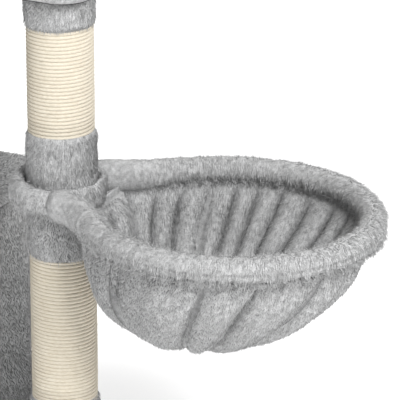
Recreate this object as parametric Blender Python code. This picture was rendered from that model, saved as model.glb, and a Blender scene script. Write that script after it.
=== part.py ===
"""Cat tree with a swivelling plush basket.

A plush-covered base carries a sisal post and a condo. The post holds a steel hoop
between its two halves, and the hoop carries a deep plush basket that turns about the
post. A platform lies on that post and on a second one, which stands on the condo's
roof. A third post lifts a padded bed above the platform.

Metres, +Z up, -Y is the front. The origin is the middle of the base's underside.
"""

import math

import bmesh
import bpy
from mathutils import Matrix, Vector

# Driving dimensions
GAP = 0.0003                    # left between two pieces that touch
POST_SIDES = 20                 # facets of every piece that is turned about a post
BOLT_SIDES = 12
CORNER_STEPS = 4                # facets in the rounded corner of a board

PLUSH = 0.008                   # fabric and pile on the boards
BOARD = 0.015                   # particle board of the base and the platform
THIN_BOARD = 0.012              # particle board of the condo and the bed
LINER = 0.0012                  # non-woven sheet under the base and the platform
BASE_WIDTH, BASE_DEPTH = 0.600, 0.400
BASE_CORNER = 0.040
SLAB = 0.025                    # base and platform, with their plush

TUBE_INSIDE, TUBE_OUTSIDE = 0.031, 0.035
SISAL_OUTSIDE = 0.040
BAND_OUTSIDE = 0.045
CAP_THICKNESS = 0.015
BAND = 0.045                    # height of a plain plush band at a post's end

FRONT_POST = (0.200, -0.120)
FRONT_FOOT_BAND = 0.160
FRONT_LOWER_BAND = 0.0815       # band just under the basket's collar
FRONT_UPPER_BAND = 0.073        # band just over it
FRONT_HEAD_BAND = 0.0402
COLLAR_LEVEL = 0.453            # middle of the pivot plate, and the plane of the hoop
PLATE_RADIUS, PLATE_THICKNESS = 0.0482, 0.003
PLATFORM_LEVEL = 0.6995         # underside of the platform
ROOF_POST = (-0.200, 0.110)
BED_POST = (-0.040, 0.030)
BED_LEVEL = 1.0248              # underside of the bed

CONDO = ((-0.270, 0.030), (-0.120, 0.185))
CONDO_WALL_TOP = 0.336
CONDO_TOP = 0.361
CONDO_COVER = 0.006
CONDO_CORNER = 0.014
DOOR_CENTRE = (-0.120, 0.150)   # X and Z
DOOR_RADIUS = 0.082
DOOR_RING = 0.0067              # thickness of the plush ring in the doorway

PLATFORM = ((-0.276, 0.258), (-0.182, 0.178))
PLATFORM_CORNER = 0.042
BED_WIDTH, BED_DEPTH = 0.350, 0.310
BED_CORNER = 0.095
BED_SLAB = 0.020
BOLSTER_WIDTH, BOLSTER_HEIGHT = 0.062, 0.070
CUSHION_HEIGHT = 0.030

HOOP_CENTRE = 0.224             # from the post's axis
HOOP_RADIUS_X, HOOP_RADIUS_Y = 0.166, 0.159
LOOP_RADIUS = 0.054             # the small loop round the post
WIRE = 0.003                    # radius of the steel wire
NECK_ANGLE = math.radians(7.8)  # how quickly the neck opens into the hoop
RIM_RADIUS = 0.017
NECK_HALF_WIDTH, NECK_HALF_HEIGHT = 0.0175, 0.0225
SLEEVE_START = 0.020            # X from the post's axis where the rim's sleeve may begin
COLLAR_INSIDE, COLLAR_OUTSIDE = 0.046, 0.064
COLLAR_HALF_HEIGHT = 0.018
COLLAR_THIN = 0.40              # share of its thickness that is left between the two necks
BAG_TOP = -0.0185               # below the plane of the hoop
BAG_DEPTH = 0.139
BAG_LEFT, BAG_RIGHT, BAG_SIDE = 0.163, 0.161, 0.154
BAG_CENTRE_TOP, BAG_CENTRE_BOTTOM = 0.222, 0.183
BAG_SIDEWAYS = -0.0115          # its lowest point sags towards the front
BAG_WALL, LINING_WALL = 0.005, 0.003
BAG_FULLNESS = 2.05

BOLT, HOLE = 0.004, 0.0043
BOLT_HEAD, BOLT_HEAD_THICKNESS = 0.0065, 0.004
BOLT_GRIP = 0.012               # length of a bolt inside a post's cap
SCREW, SCREW_HOLE, SCREW_HEAD = 0.002, 0.0023, 0.0038
SCREW_TIP = 0.048

MATERIALS = {
    "plush": ((0.56, 0.56, 0.57), 0.95, 0.0),
    "plush_inner": ((0.50, 0.50, 0.51), 0.95, 0.0),
    "sisal": ((0.76, 0.70, 0.60), 0.9, 0.0),
    "board": ((0.45, 0.33, 0.21), 0.8, 0.0),
    "paper_tube": ((0.42, 0.31, 0.20), 0.85, 0.0),
    "liner": ((0.10, 0.10, 0.11), 0.9, 0.0),
    "zinc": ((0.62, 0.62, 0.60), 0.35, 1.0),
    "wire": ((0.08, 0.08, 0.08), 0.45, 1.0),
}


# Scene helpers

def clear_scene():
    """Removes everything that the start-up scene holds."""
    for item in list(bpy.data.objects):
        bpy.data.objects.remove(item, do_unlink=True)


def new_material(name):
    """A plain Principled material."""
    colour, roughness, metallic = MATERIALS[name]
    made = bpy.data.materials.new(name)
    made.use_nodes = True
    shader = made.node_tree.nodes["Principled BSDF"]
    shader.inputs["Base Color"].default_value = (*colour, 1.0)
    shader.inputs["Roughness"].default_value = roughness
    shader.inputs["Metallic"].default_value = metallic
    return made


def add_object(name, bm, finish, place=(0, 0, 0), parent=None):
    """Makes an object of a bmesh, with its faces out and its own material."""
    bmesh.ops.remove_doubles(bm, verts=bm.verts, dist=1e-6)
    bmesh.ops.recalc_face_normals(bm, faces=bm.faces)
    mesh = bpy.data.meshes.new(name)
    bm.to_mesh(mesh)
    bm.free()
    mesh.shade_smooth()
    mesh.set_sharp_from_angle(angle=math.radians(35))
    made = bpy.data.objects.new(name, mesh)
    made.location = place
    made.parent = parent
    bpy.context.scene.collection.objects.link(made)
    if finish:
        material = new_material(finish)
        material.name = f"{name}_{finish}"
        mesh.materials.append(material)
    return made


def cut(target, name, bm, place=(0, 0, 0), parent=None):
    """Cuts the shape in bm out of target, with a live Boolean."""
    cutter = add_object(name, bm, None, place, parent)
    cutter.hide_render = True
    cutter.display_type = "WIRE"
    modifier = target.modifiers.new(name, "BOOLEAN")
    modifier.operation = "DIFFERENCE"
    modifier.solver = "EXACT"
    modifier.object = cutter


# Shapes

def turned(profile, sides):
    """Spins a closed profile of (radius, height) points about Z."""
    bm = bmesh.new()
    corners = [bm.verts.new((radius, 0, height)) for radius, height in profile]
    pairs = zip(corners, corners[1:] + corners[:1])
    edges = [bm.edges.new(pair) for pair in pairs]
    bmesh.ops.spin(
        bm,
        geom=edges,
        axis=(0, 0, 1),
        cent=(0, 0, 0),
        angle=math.tau,
        steps=sides,
        use_merge=True,
    )
    bmesh.ops.remove_doubles(bm, verts=bm.verts, dist=1e-6)
    bmesh.ops.dissolve_degenerate(bm, edges=bm.edges, dist=1e-6)
    return bm


def ring(inside, outside, low, high, sides=POST_SIDES):
    """A plain tube between two heights."""
    return turned([(inside, low), (outside, low), (outside, high), (inside, high)], sides)


def rod(radius, low, high, sides=BOLT_SIDES):
    """A plain round bar, capped at both ends."""
    bm = bmesh.new()
    bmesh.ops.create_cone(
        bm,
        cap_ends=True,
        segments=sides,
        radius1=radius,
        radius2=radius,
        depth=high - low,
        matrix=Matrix.Translation((0, 0, (low + high) / 2)),
    )
    return bm


def rounded_outline(x_span, y_span, corner, steps=CORNER_STEPS):
    """Corner points of a rectangle with rounded corners, anticlockwise."""
    points = []
    middles = (
        (x_span[1] - corner, y_span[1] - corner),
        (x_span[0] + corner, y_span[1] - corner),
        (x_span[0] + corner, y_span[0] + corner),
        (x_span[1] - corner, y_span[0] + corner),
    )
    for quarter, (x, y) in enumerate(middles):
        for step in range(steps + 1):
            angle = (quarter + step / steps) * math.pi / 2
            points.append(Vector((x + corner * math.cos(angle), y + corner * math.sin(angle), 0)))
    return points


def slab(x_span, y_span, low, high, corner, top_edge=0.0, bottom_edge=0.0):
    """A rounded plate, with its top and bottom rims rounded over if asked."""
    bm = bmesh.new()
    outline = [bm.verts.new((p.x, p.y, low)) for p in rounded_outline(x_span, y_span, corner)]
    floor = bm.faces.new(outline)
    raised = bmesh.ops.extrude_face_region(bm, geom=[floor])["geom"]
    lifted = [item for item in raised if isinstance(item, bmesh.types.BMVert)]
    bmesh.ops.translate(bm, verts=lifted, vec=(0, 0, high - low))
    for edge_radius, level in ((top_edge, high), (bottom_edge, low)):
        if edge_radius:
            round_rim(bm, level, edge_radius)
    return bm


def round_rim(bm, level, radius, segments=3):
    """Rounds over the edges that lie at one level."""
    rim = [e for e in bm.edges if all(abs(v.co.z - level) < 1e-6 for v in e.verts)]
    bmesh.ops.bevel(
        bm,
        geom=rim,
        offset=radius,
        affect="EDGES",
        segments=segments,
        profile=0.5,
        material=-1,
        clamp_overlap=True,
    )


def inset(span, distance):
    """A span made smaller at both ends."""
    return (span[0] + distance, span[1] - distance)


def loft(rings, closed):
    """Joins rings of points into a skin, and caps its ends unless it closes on itself."""
    bm = bmesh.new()
    made = [[bm.verts.new(point) for point in points] for points in rings]
    pairs = list(zip(made, made[1:]))
    if closed:
        pairs.append((made[-1], made[0]))
    for first, second in pairs:
        count = len(first)
        for i in range(count):
            j = (i + 1) % count
            bm.faces.new((first[i], first[j], second[j], second[i]))
    if not closed:
        bm.faces.new(made[0])
        bm.faces.new(made[-1])
    return bm


def sweep(path, radius_at, sides, closed):
    """Carries an oval section along a level path; radius_at gives its two half sizes."""
    rings = []
    count = len(path)
    for i, point in enumerate(path):
        before = path[i - 1] if closed or i else path[0]
        after = path[(i + 1) % count] if closed or i < count - 1 else path[-1]
        along = (after - before).normalized()
        outward = Vector((along.y, -along.x, 0))
        across, up = radius_at(point)
        rings.append([
            point
            + outward * across * math.cos(math.tau * k / sides)
            + Vector((0, 0, up * math.sin(math.tau * k / sides)))
            for k in range(sides)
        ])
    return loft(rings, closed)


# Posts and fasteners

def add_post(name, place, low, high, low_band, high_band):
    """One scratching post: paper tube, two drilled caps, sisal and a plush band at each end."""
    length = high - low
    where = (*place, low)
    tube = ring(TUBE_INSIDE, TUBE_OUTSIDE, 0, length)
    add_object(f"{name}_core_tube", tube, "paper_tube", where)
    cap = TUBE_INSIDE - GAP
    for end, start in (("foot", 0), ("head", length - CAP_THICKNESS)):
        disc = ring(HOLE, cap, start, start + CAP_THICKNESS)
        add_object(f"{name}_{end}_cap", disc, "board", where)
    skin = TUBE_OUTSIDE + GAP
    rope = ring(skin, SISAL_OUTSIDE, low_band + GAP, length - high_band - GAP)
    add_object(f"{name}_sisal_wrap", rope, "sisal", where)
    for end, start, stop in (("foot", 0, low_band), ("head", length - high_band, length)):
        band = ring(skin, BAND_OUTSIDE, start, stop)
        add_object(f"{name}_{end}_band", band, "plush", where)


def add_bolt(name, place, head_low, tip):
    """A bolt whose head starts at head_low and whose shank ends at tip, above or below."""
    up = tip > head_low
    shoulder = head_low + BOLT_HEAD_THICKNESS if up else head_low
    crown = head_low if up else head_low + BOLT_HEAD_THICKNESS
    profile = [(0, crown), (BOLT_HEAD, crown), (BOLT_HEAD, shoulder), (BOLT, shoulder)]
    profile += [(BOLT, tip), (0, tip)]
    add_object(name, turned(profile, BOLT_SIDES), "zinc", (*place, 0))


def drill(target, name, place, low, high, radius=HOLE):
    """Drills a round hole between two heights."""
    cut(target, name, rod(radius, low, high), (*place, 0))


# Sub-assemblies

def build_base():
    """Board, liner beneath it, and the plush drawn over the top and the sides."""
    x_span = (-BASE_WIDTH / 2, BASE_WIDTH / 2)
    y_span = (-BASE_DEPTH / 2, BASE_DEPTH / 2)
    liner = slab(inset(x_span, 0.012), inset(y_span, 0.012), 0, LINER, BASE_CORNER - 0.012)
    add_object("base_liner", liner, "liner")

    board_low = LINER + GAP
    board_high = board_low + BOARD
    edge = PLUSH + GAP
    wood = slab(inset(x_span, edge), inset(y_span, edge), board_low, board_high, BASE_CORNER - edge)
    board = add_object("base_board", wood, "board")
    cloth = slab(x_span, y_span, 0, SLAB, BASE_CORNER, top_edge=0.007)
    plush = add_object("base_plush_cover", cloth, "plush")
    pocket = slab(inset(x_span, PLUSH), inset(y_span, PLUSH), -0.01, board_high + GAP,
                  BASE_CORNER - PLUSH)
    cut(plush, "base_pocket_cutter", pocket)

    drill(board, "base_bolt_cutter", FRONT_POST, -0.01, 0.05)
    drill(board, "base_bolt_head_cutter", FRONT_POST, -0.01, 0.0061, BOLT_HEAD + 2 * GAP)
    drill(plush, "base_plush_bolt_cutter", FRONT_POST, 0.005, 0.05)
    add_bolt("front_post_base_bolt", FRONT_POST, board_low + GAP, SLAB + GAP + BOLT_GRIP)
    return board, plush


def build_condo(base_board, base_plush):
    """Four walls, their plush cover, a padded roof, a mat, and the ring in the doorway."""
    x_span, y_span = CONDO
    floor = SLAB + GAP
    cover = add_object(
        "condo_plush_cover", slab(x_span, y_span, floor, CONDO_WALL_TOP, CONDO_CORNER), "plush"
    )
    hollow = slab(inset(x_span, CONDO_COVER), inset(y_span, CONDO_COVER), 0, CONDO_TOP, 0.004)
    cut(cover, "condo_hollow_cutter", hollow)

    outer = CONDO_COVER + 4 * GAP
    (x0, x1), (y0, y1) = inset(x_span, outer), inset(y_span, outer)
    inner_y = (y0 + THIN_BOARD + GAP, y1 - THIN_BOARD - GAP)
    walls = {}
    for name, x_wall, y_wall in (
        ("front", (x0, x1), (y0, y0 + THIN_BOARD)),
        ("back", (x0, x1), (y1 - THIN_BOARD, y1)),
        ("left", (x0, x0 + THIN_BOARD), inner_y),
        ("right", (x1 - THIN_BOARD, x1), inner_y),
    ):
        wood = slab(x_wall, y_wall, floor, CONDO_WALL_TOP, 0.001)
        walls[name] = add_object(f"condo_{name}_wall", wood, "board")

    door = Matrix.Rotation(math.pi / 2, 4, "X")
    door_place = (DOOR_CENTRE[0], 0, DOOR_CENTRE[1])
    for target in (cover, walls["front"]):
        hole = rod(DOOR_RADIUS, -y0 - 0.05, -y0 + 0.05, POST_SIDES)
        bmesh.ops.transform(hole, matrix=door, verts=hole.verts)
        cut(target, f"{target.name}_door_cutter", hole, door_place)
    ring_outside = DOOR_RADIUS - GAP
    trim = ring(ring_outside - DOOR_RING, ring_outside, -y0 - THIN_BOARD - 0.003, -y_span[0] + 0.004)
    bmesh.ops.transform(trim, matrix=door, verts=trim.verts)
    add_object("condo_door_ring", trim, "plush", door_place)

    roof_board_top = CONDO_WALL_TOP + GAP + THIN_BOARD
    roof_low = CONDO_WALL_TOP + GAP
    wood = slab(inset(x_span, PLUSH + GAP), inset(y_span, PLUSH + GAP), roof_low, roof_board_top, 0.022)
    roof_board = add_object("condo_roof_board", wood, "board")
    cloth = slab(x_span, y_span, roof_low, CONDO_TOP, 0.030, top_edge=0.010)
    roof_plush = add_object("condo_roof_plush_cover", cloth, "plush")
    pocket = slab(inset(x_span, PLUSH), inset(y_span, PLUSH), roof_low - 0.01, roof_board_top + GAP, 0.022)
    cut(roof_plush, "condo_roof_pocket_cutter", pocket)
    for target in (roof_board, roof_plush):
        drill(target, f"{target.name}_bolt_cutter", ROOF_POST, roof_low - 0.01, CONDO_TOP + 0.01)
    bolt_low = roof_low - BOLT_HEAD_THICKNESS - GAP
    add_bolt("roof_post_condo_bolt", ROOF_POST, bolt_low, CONDO_TOP + GAP + BOLT_GRIP)

    clear = outer + THIN_BOARD + 0.003
    mat = slab(inset(x_span, clear), inset(y_span, clear), floor, floor + 0.025, 0.02, 0.008, 0.004)
    add_object("condo_mat", mat, "plush_inner")

    wall_middle = outer + THIN_BOARD / 2
    head_low = LINER + 2 * GAP
    for number, (side_x, wall) in enumerate(
        ((x0 + 0.035, "front"), (x1 - 0.035, "front"), (x0 + 0.035, "back"), (x1 - 0.035, "back")), 1
    ):
        side_y = y_span[0] + wall_middle if wall == "front" else y_span[1] - wall_middle
        spot = (side_x, side_y)
        profile = [(0, head_low), (SCREW_HEAD, head_low), (SCREW, head_low + 0.003)]
        profile += [(SCREW, SCREW_TIP - 0.003), (0, SCREW_TIP)]
        add_object(f"condo_screw_{number}", turned(profile, 8), "zinc", (*spot, 0))
        drill(base_board, f"screw_head_cutter_{number}", spot, -0.01, head_low + 0.0035, SCREW_HEAD + GAP)
        drill(base_board, f"screw_cutter_{number}", spot, -0.01, 0.05, SCREW_HOLE)
        drill(base_plush, f"screw_plush_cutter_{number}", spot, 0.005, 0.05, SCREW_HOLE)
        drill(walls[wall], f"screw_wall_cutter_{number}", spot, 0.0, SCREW_TIP + 0.001, SCREW_HOLE)


def build_platform():
    """The platform over the front post, with its board, liner and plush, and its bolts."""
    x_span, y_span = PLATFORM
    low = PLATFORM_LEVEL
    top = low + SLAB
    edge = PLUSH + GAP
    sheet = slab(inset(x_span, edge), inset(y_span, edge), low, low + LINER, PLATFORM_CORNER - edge)
    liner = add_object("platform_liner", sheet, "liner")
    board_low = low + LINER + GAP
    wood = slab(inset(x_span, edge), inset(y_span, edge), board_low, board_low + BOARD,
                PLATFORM_CORNER - edge)
    board = add_object("platform_board", wood, "board")
    cloth = slab(x_span, y_span, low, top, PLATFORM_CORNER, top_edge=0.008, bottom_edge=0.006)
    plush = add_object("platform_plush_cover", cloth, "plush")
    pocket = slab(inset(x_span, PLUSH), inset(y_span, PLUSH), low - 0.01, board_low + BOARD + GAP,
                  PLATFORM_CORNER - PLUSH)
    cut(plush, "platform_pocket_cutter", pocket)
    for name, place in (("front", FRONT_POST), ("roof", ROOF_POST), ("bed", BED_POST)):
        for target in (liner, board, plush):
            drill(target, f"{target.name}_{name}_cutter", place, low - 0.01, top + 0.01)
    for name, place in (("front_post", FRONT_POST), ("roof_post", ROOF_POST)):
        add_bolt(f"{name}_platform_bolt", place, top + GAP, low - GAP - BOLT_GRIP)
    head_low = low - GAP - BOLT_HEAD_THICKNESS
    add_bolt("bed_post_platform_bolt", BED_POST, head_low, top + GAP + BOLT_GRIP)


def build_bed():
    """The bed on the third post: covered board, bolster all round and a cushion."""
    x_span = (BED_POST[0] - BED_WIDTH / 2, BED_POST[0] + BED_WIDTH / 2)
    y_span = (BED_POST[1] - BED_DEPTH / 2, BED_POST[1] + BED_DEPTH / 2)
    low = BED_LEVEL
    board_top = low + THIN_BOARD
    edge = PLUSH + GAP
    wood = slab(inset(x_span, edge), inset(y_span, edge), low, board_top, BED_CORNER - edge)
    board = add_object("bed_board", wood, "board")
    cloth = slab(x_span, y_span, low, low + BED_SLAB, BED_CORNER, top_edge=0.005)
    plush = add_object("bed_plush_cover", cloth, "plush")
    pocket = slab(inset(x_span, PLUSH), inset(y_span, PLUSH), low - 0.01, board_top + GAP,
                  BED_CORNER - PLUSH)
    cut(plush, "bed_pocket_cutter", pocket)
    drill(board, "bed_board_bolt_cutter", BED_POST, low - 0.01, board_top + 0.01)
    drill(plush, "bed_plush_bolt_cutter", BED_POST, low, low + 0.05, BOLT_HEAD + 2 * GAP)
    add_bolt("bed_post_bed_bolt", BED_POST, board_top + GAP, low - GAP - BOLT_GRIP)

    seat = low + BED_SLAB + GAP
    middle = BOLSTER_WIDTH / 2
    route = rounded_outline(inset(x_span, middle), inset(y_span, middle), BED_CORNER - middle, 6)
    lift = Vector((0, 0, seat + BOLSTER_HEIGHT / 2))
    path = [point + lift for point in route]
    roll = sweep(path, lambda point: (middle, BOLSTER_HEIGHT / 2), 10, closed=True)
    add_object("bed_bolster", roll, "plush")
    clear = BOLSTER_WIDTH + 0.002
    pad = slab(inset(x_span, clear), inset(y_span, clear), seat, seat + CUSHION_HEIGHT,
               BED_CORNER - clear + 0.012, 0.010, 0.004)
    add_object("bed_cushion", pad, "plush_inner")


# Basket

def hoop_radius(turn):
    """Distance of the wire from the hoop's centre; turn is 0 towards the post."""
    x = HOOP_RADIUS_Y * math.cos(turn)
    y = HOOP_RADIUS_X * math.sin(turn)
    plain = HOOP_RADIUS_X * HOOP_RADIUS_Y / math.hypot(x, y)
    contact = math.asin(LOOP_RADIUS / HOOP_CENTRE)
    reach = HOOP_CENTRE * math.cos(contact)
    return plain + (reach - plain) * math.exp(-(turn - contact) / NECK_ANGLE)


def wire_path():
    """The wire's centre line: a small loop round the post, a neck, and the wide hoop."""
    loop_end = math.acos(LOOP_RADIUS / HOOP_CENTRE)
    contact = math.asin(LOOP_RADIUS / HOOP_CENTRE)
    points = []
    loop_steps, side_steps = 14, 18
    for step in range(1, loop_steps):
        angle = loop_end + (math.tau - 2 * loop_end) * step / loop_steps
        points.append(Vector((LOOP_RADIUS * math.cos(angle), LOOP_RADIUS * math.sin(angle), 0)))
    for step in range(2 * side_steps + 1):
        share = (step - side_steps) / side_steps
        eased = math.copysign(1 - (1 - abs(share)) ** 1.5, share)
        turn = math.pi - (math.pi - contact) * abs(eased)
        side = -1 if share < 0 else 1
        radius = hoop_radius(turn)
        points.append(Vector((
            HOOP_CENTRE - radius * math.cos(turn),
            side * radius * math.sin(turn),
            0,
        )))
    for _ in range(2):
        points = [
            (points[i - 1] + 2 * points[i] + points[(i + 1) % len(points)]) / 4
            for i in range(len(points))
        ]
    return points


def rim_share(point):
    """How far a point on the wire is past the neck: 0 at the collar, 1 on the wide hoop."""
    share = min(max((point.x - 0.050) / 0.080, 0), 1)
    return share * share * (3 - 2 * share)


def sleeve_size(point):
    """Half width and half height of the rim's sleeve, which is taller on the neck."""
    share = rim_share(point)
    width = NECK_HALF_WIDTH + (RIM_RADIUS - NECK_HALF_WIDTH) * share
    return (width, NECK_HALF_HEIGHT + (RIM_RADIUS - NECK_HALF_HEIGHT) * share)


def collar_ring():
    """The ring round the post, thinner on the basket's side."""
    profile = [
        (COLLAR_INSIDE, -0.012),
        (0.051, -COLLAR_HALF_HEIGHT),
        (0.057, -COLLAR_HALF_HEIGHT),
        (COLLAR_OUTSIDE, -0.009),
        (COLLAR_OUTSIDE, 0.009),
        (0.057, COLLAR_HALF_HEIGHT),
        (0.051, COLLAR_HALF_HEIGHT),
        (COLLAR_INSIDE, 0.012),
    ]
    bm = turned(profile, POST_SIDES)
    for corner in bm.verts:
        angle = abs(math.degrees(math.atan2(corner.co.y, corner.co.x)))
        share = min(max((angle - 35) / 30, 0), 1)
        thickness = COLLAR_THIN + (1 - COLLAR_THIN) * share
        radius = math.hypot(corner.co.x, corner.co.y)
        pulled = COLLAR_INSIDE + (radius - COLLAR_INSIDE) * thickness
        corner.co.x *= pulled / radius
        corner.co.y *= pulled / radius
    return bm


def bag_ring(depth_share, wall, sides=24):
    """One level of the bag; depth_share is 0 at the hem and 1 at the lowest point."""
    fullness = math.sqrt(max(1 - depth_share ** BAG_FULLNESS, 0))
    centre = BAG_CENTRE_TOP + (BAG_CENTRE_BOTTOM - BAG_CENTRE_TOP) * depth_share
    height = BAG_TOP - (BAG_DEPTH - wall) * depth_share
    points = []
    for step in range(sides):
        angle = math.tau * step / sides
        reach = BAG_RIGHT if math.cos(angle) > 0 else BAG_LEFT
        points.append(Vector((
            centre + (reach - wall) * fullness * math.cos(angle),
            BAG_SIDEWAYS * depth_share + (BAG_SIDE - wall) * fullness * math.sin(angle),
            height,
        )))
    return points


def bag_shell(outside, inside):
    """A bowl between two distances from the bag's outer face."""
    shares = [0, 0.16, 0.36, 0.56, 0.74, 0.89, 0.975]
    inner = [bag_ring(share, inside) for share in reversed(shares)]
    outer = [bag_ring(share, outside) for share in shares]
    return loft(inner + outer, closed=False)


def build_basket():
    """Everything that turns about the front post."""
    pivot = bpy.data.objects.new("basket_pivot", None)
    pivot.location = (*FRONT_POST, COLLAR_LEVEL)
    bpy.context.scene.collection.objects.link(pivot)

    half = PLATE_THICKNESS / 2
    disc = ring(HOLE, PLATE_RADIUS, -half, half)
    add_object("basket_pivot_plate", disc, "zinc", parent=pivot)

    path = wire_path()
    wire = sweep(path, lambda point: (WIRE, WIRE), 6, closed=True)
    add_object("basket_hoop_wire", wire, "wire", parent=pivot)

    wire_room = WIRE + 2 * GAP
    collar = add_object("basket_collar_sleeve", collar_ring(), "plush", parent=pivot)
    tunnel = sweep(path, lambda point: (wire_room, wire_room), 6, closed=True)
    cut(collar, "collar_wire_cutter", tunnel, parent=pivot)
    slot = rod(PLATE_RADIUS + 3 * GAP, -half - GAP, half + GAP, POST_SIDES)
    cut(collar, "collar_plate_cutter", slot, parent=pivot)

    start = next(i for i, point in enumerate(path) if point.x > SLEEVE_START)
    covered = sum(point.x > SLEEVE_START for point in path)
    roll = sweep(path[start:start + covered], sleeve_size, 10, closed=False)
    rim = add_object("basket_rim_sleeve", roll, "plush", parent=pivot)
    tunnel = sweep(path, lambda point: (wire_room, wire_room), 6, closed=True)
    cut(rim, "rim_wire_cutter", tunnel, parent=pivot)
    clearance = rod(COLLAR_OUTSIDE + GAP, -0.03, 0.03, POST_SIDES)
    cut(rim, "rim_collar_cutter", clearance, parent=pivot)

    add_object("basket_bag_outer", bag_shell(0, BAG_WALL), "plush", parent=pivot)
    lining_outside = BAG_WALL + GAP
    lining = bag_shell(lining_outside, lining_outside + LINING_WALL)
    add_object("basket_bag_lining", lining, "plush_inner", parent=pivot)


def build_posts():
    """The four post lengths and the stud that clamps the basket's plate."""
    plate_low = COLLAR_LEVEL - PLATE_THICKNESS / 2
    plate_high = COLLAR_LEVEL + PLATE_THICKNESS / 2
    add_post("front_post_lower", FRONT_POST, SLAB + GAP, plate_low - GAP,
             FRONT_FOOT_BAND, FRONT_LOWER_BAND)
    add_post("front_post_upper", FRONT_POST, plate_high + GAP, PLATFORM_LEVEL - GAP,
             FRONT_UPPER_BAND, FRONT_HEAD_BAND)
    add_post("roof_post", ROOF_POST, CONDO_TOP + GAP, PLATFORM_LEVEL - GAP, BAND, BAND)
    add_post("bed_post", BED_POST, PLATFORM_LEVEL + SLAB + GAP, BED_LEVEL - GAP, BAND, BAND)
    stud = rod(BOLT, plate_low - BOLT_GRIP, plate_high + BOLT_GRIP)
    add_object("front_post_stud", stud, "zinc", (*FRONT_POST, 0))


def main():
    """Builds the whole tree."""
    clear_scene()
    base_board, base_plush = build_base()
    build_condo(base_board, base_plush)
    build_posts()
    build_basket()
    build_platform()
    build_bed()


main()
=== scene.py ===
"""Looks of a plush cat tree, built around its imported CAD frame.

The frame gives every size and place. Each sub-assembly below is a class: it makes the plush skins, the pile
that grows on them and the sisal rope, and it dresses the frame's own boards, tubes, bolts and wire.
Metres, +Z up.
"""

import logging
import math
from collections.abc import Callable
from dataclasses import dataclass, field
from enum import Enum
from functools import cache

import bmesh
import bpy
import numpy as np
from mathutils import Matrix, Vector, noise


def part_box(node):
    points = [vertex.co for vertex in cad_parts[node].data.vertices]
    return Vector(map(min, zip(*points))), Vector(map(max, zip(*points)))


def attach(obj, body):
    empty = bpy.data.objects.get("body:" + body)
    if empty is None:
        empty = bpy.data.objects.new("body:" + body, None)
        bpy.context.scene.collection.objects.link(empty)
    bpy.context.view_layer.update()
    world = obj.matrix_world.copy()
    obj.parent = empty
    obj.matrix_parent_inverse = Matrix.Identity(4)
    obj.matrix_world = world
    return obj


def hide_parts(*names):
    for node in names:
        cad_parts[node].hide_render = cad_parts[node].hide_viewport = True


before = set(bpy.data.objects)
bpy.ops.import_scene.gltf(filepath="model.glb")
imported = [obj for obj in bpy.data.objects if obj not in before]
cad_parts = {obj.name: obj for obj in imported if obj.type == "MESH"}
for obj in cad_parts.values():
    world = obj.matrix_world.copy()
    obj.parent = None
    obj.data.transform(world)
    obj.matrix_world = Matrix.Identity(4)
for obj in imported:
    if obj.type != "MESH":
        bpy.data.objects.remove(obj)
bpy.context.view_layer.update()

LOG = logging.getLogger("cat_tree")

Colour = tuple[float, float, float, float]
Span = tuple[float, float]


class Body(Enum):
    """The two bodies of the frame that a piece can ride on."""

    TREE = "tree"
    BASKET = "basket"


class Slot(Enum):
    """The material slots."""

    PLUSH = "plush"
    PLUSH_INNER = "plush_inner"
    SISAL = "sisal"
    BOARD = "board"
    PAPER_TUBE = "paper_tube"
    LINER = "liner"
    ZINC = "zinc"
    WIRE = "wire"


class Held(Enum):
    """How a sheet of cloth is held on the tree."""

    STRETCHED = "stretched"
    GATHERED = "gathered"


def grey(level: float, warmth: float = 0.0) -> Colour:
    """A grey of one linear brightness, a little warm or cool."""
    return (level * (1 + warmth), level, level * (1 - warmth), 1.0)


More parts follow.
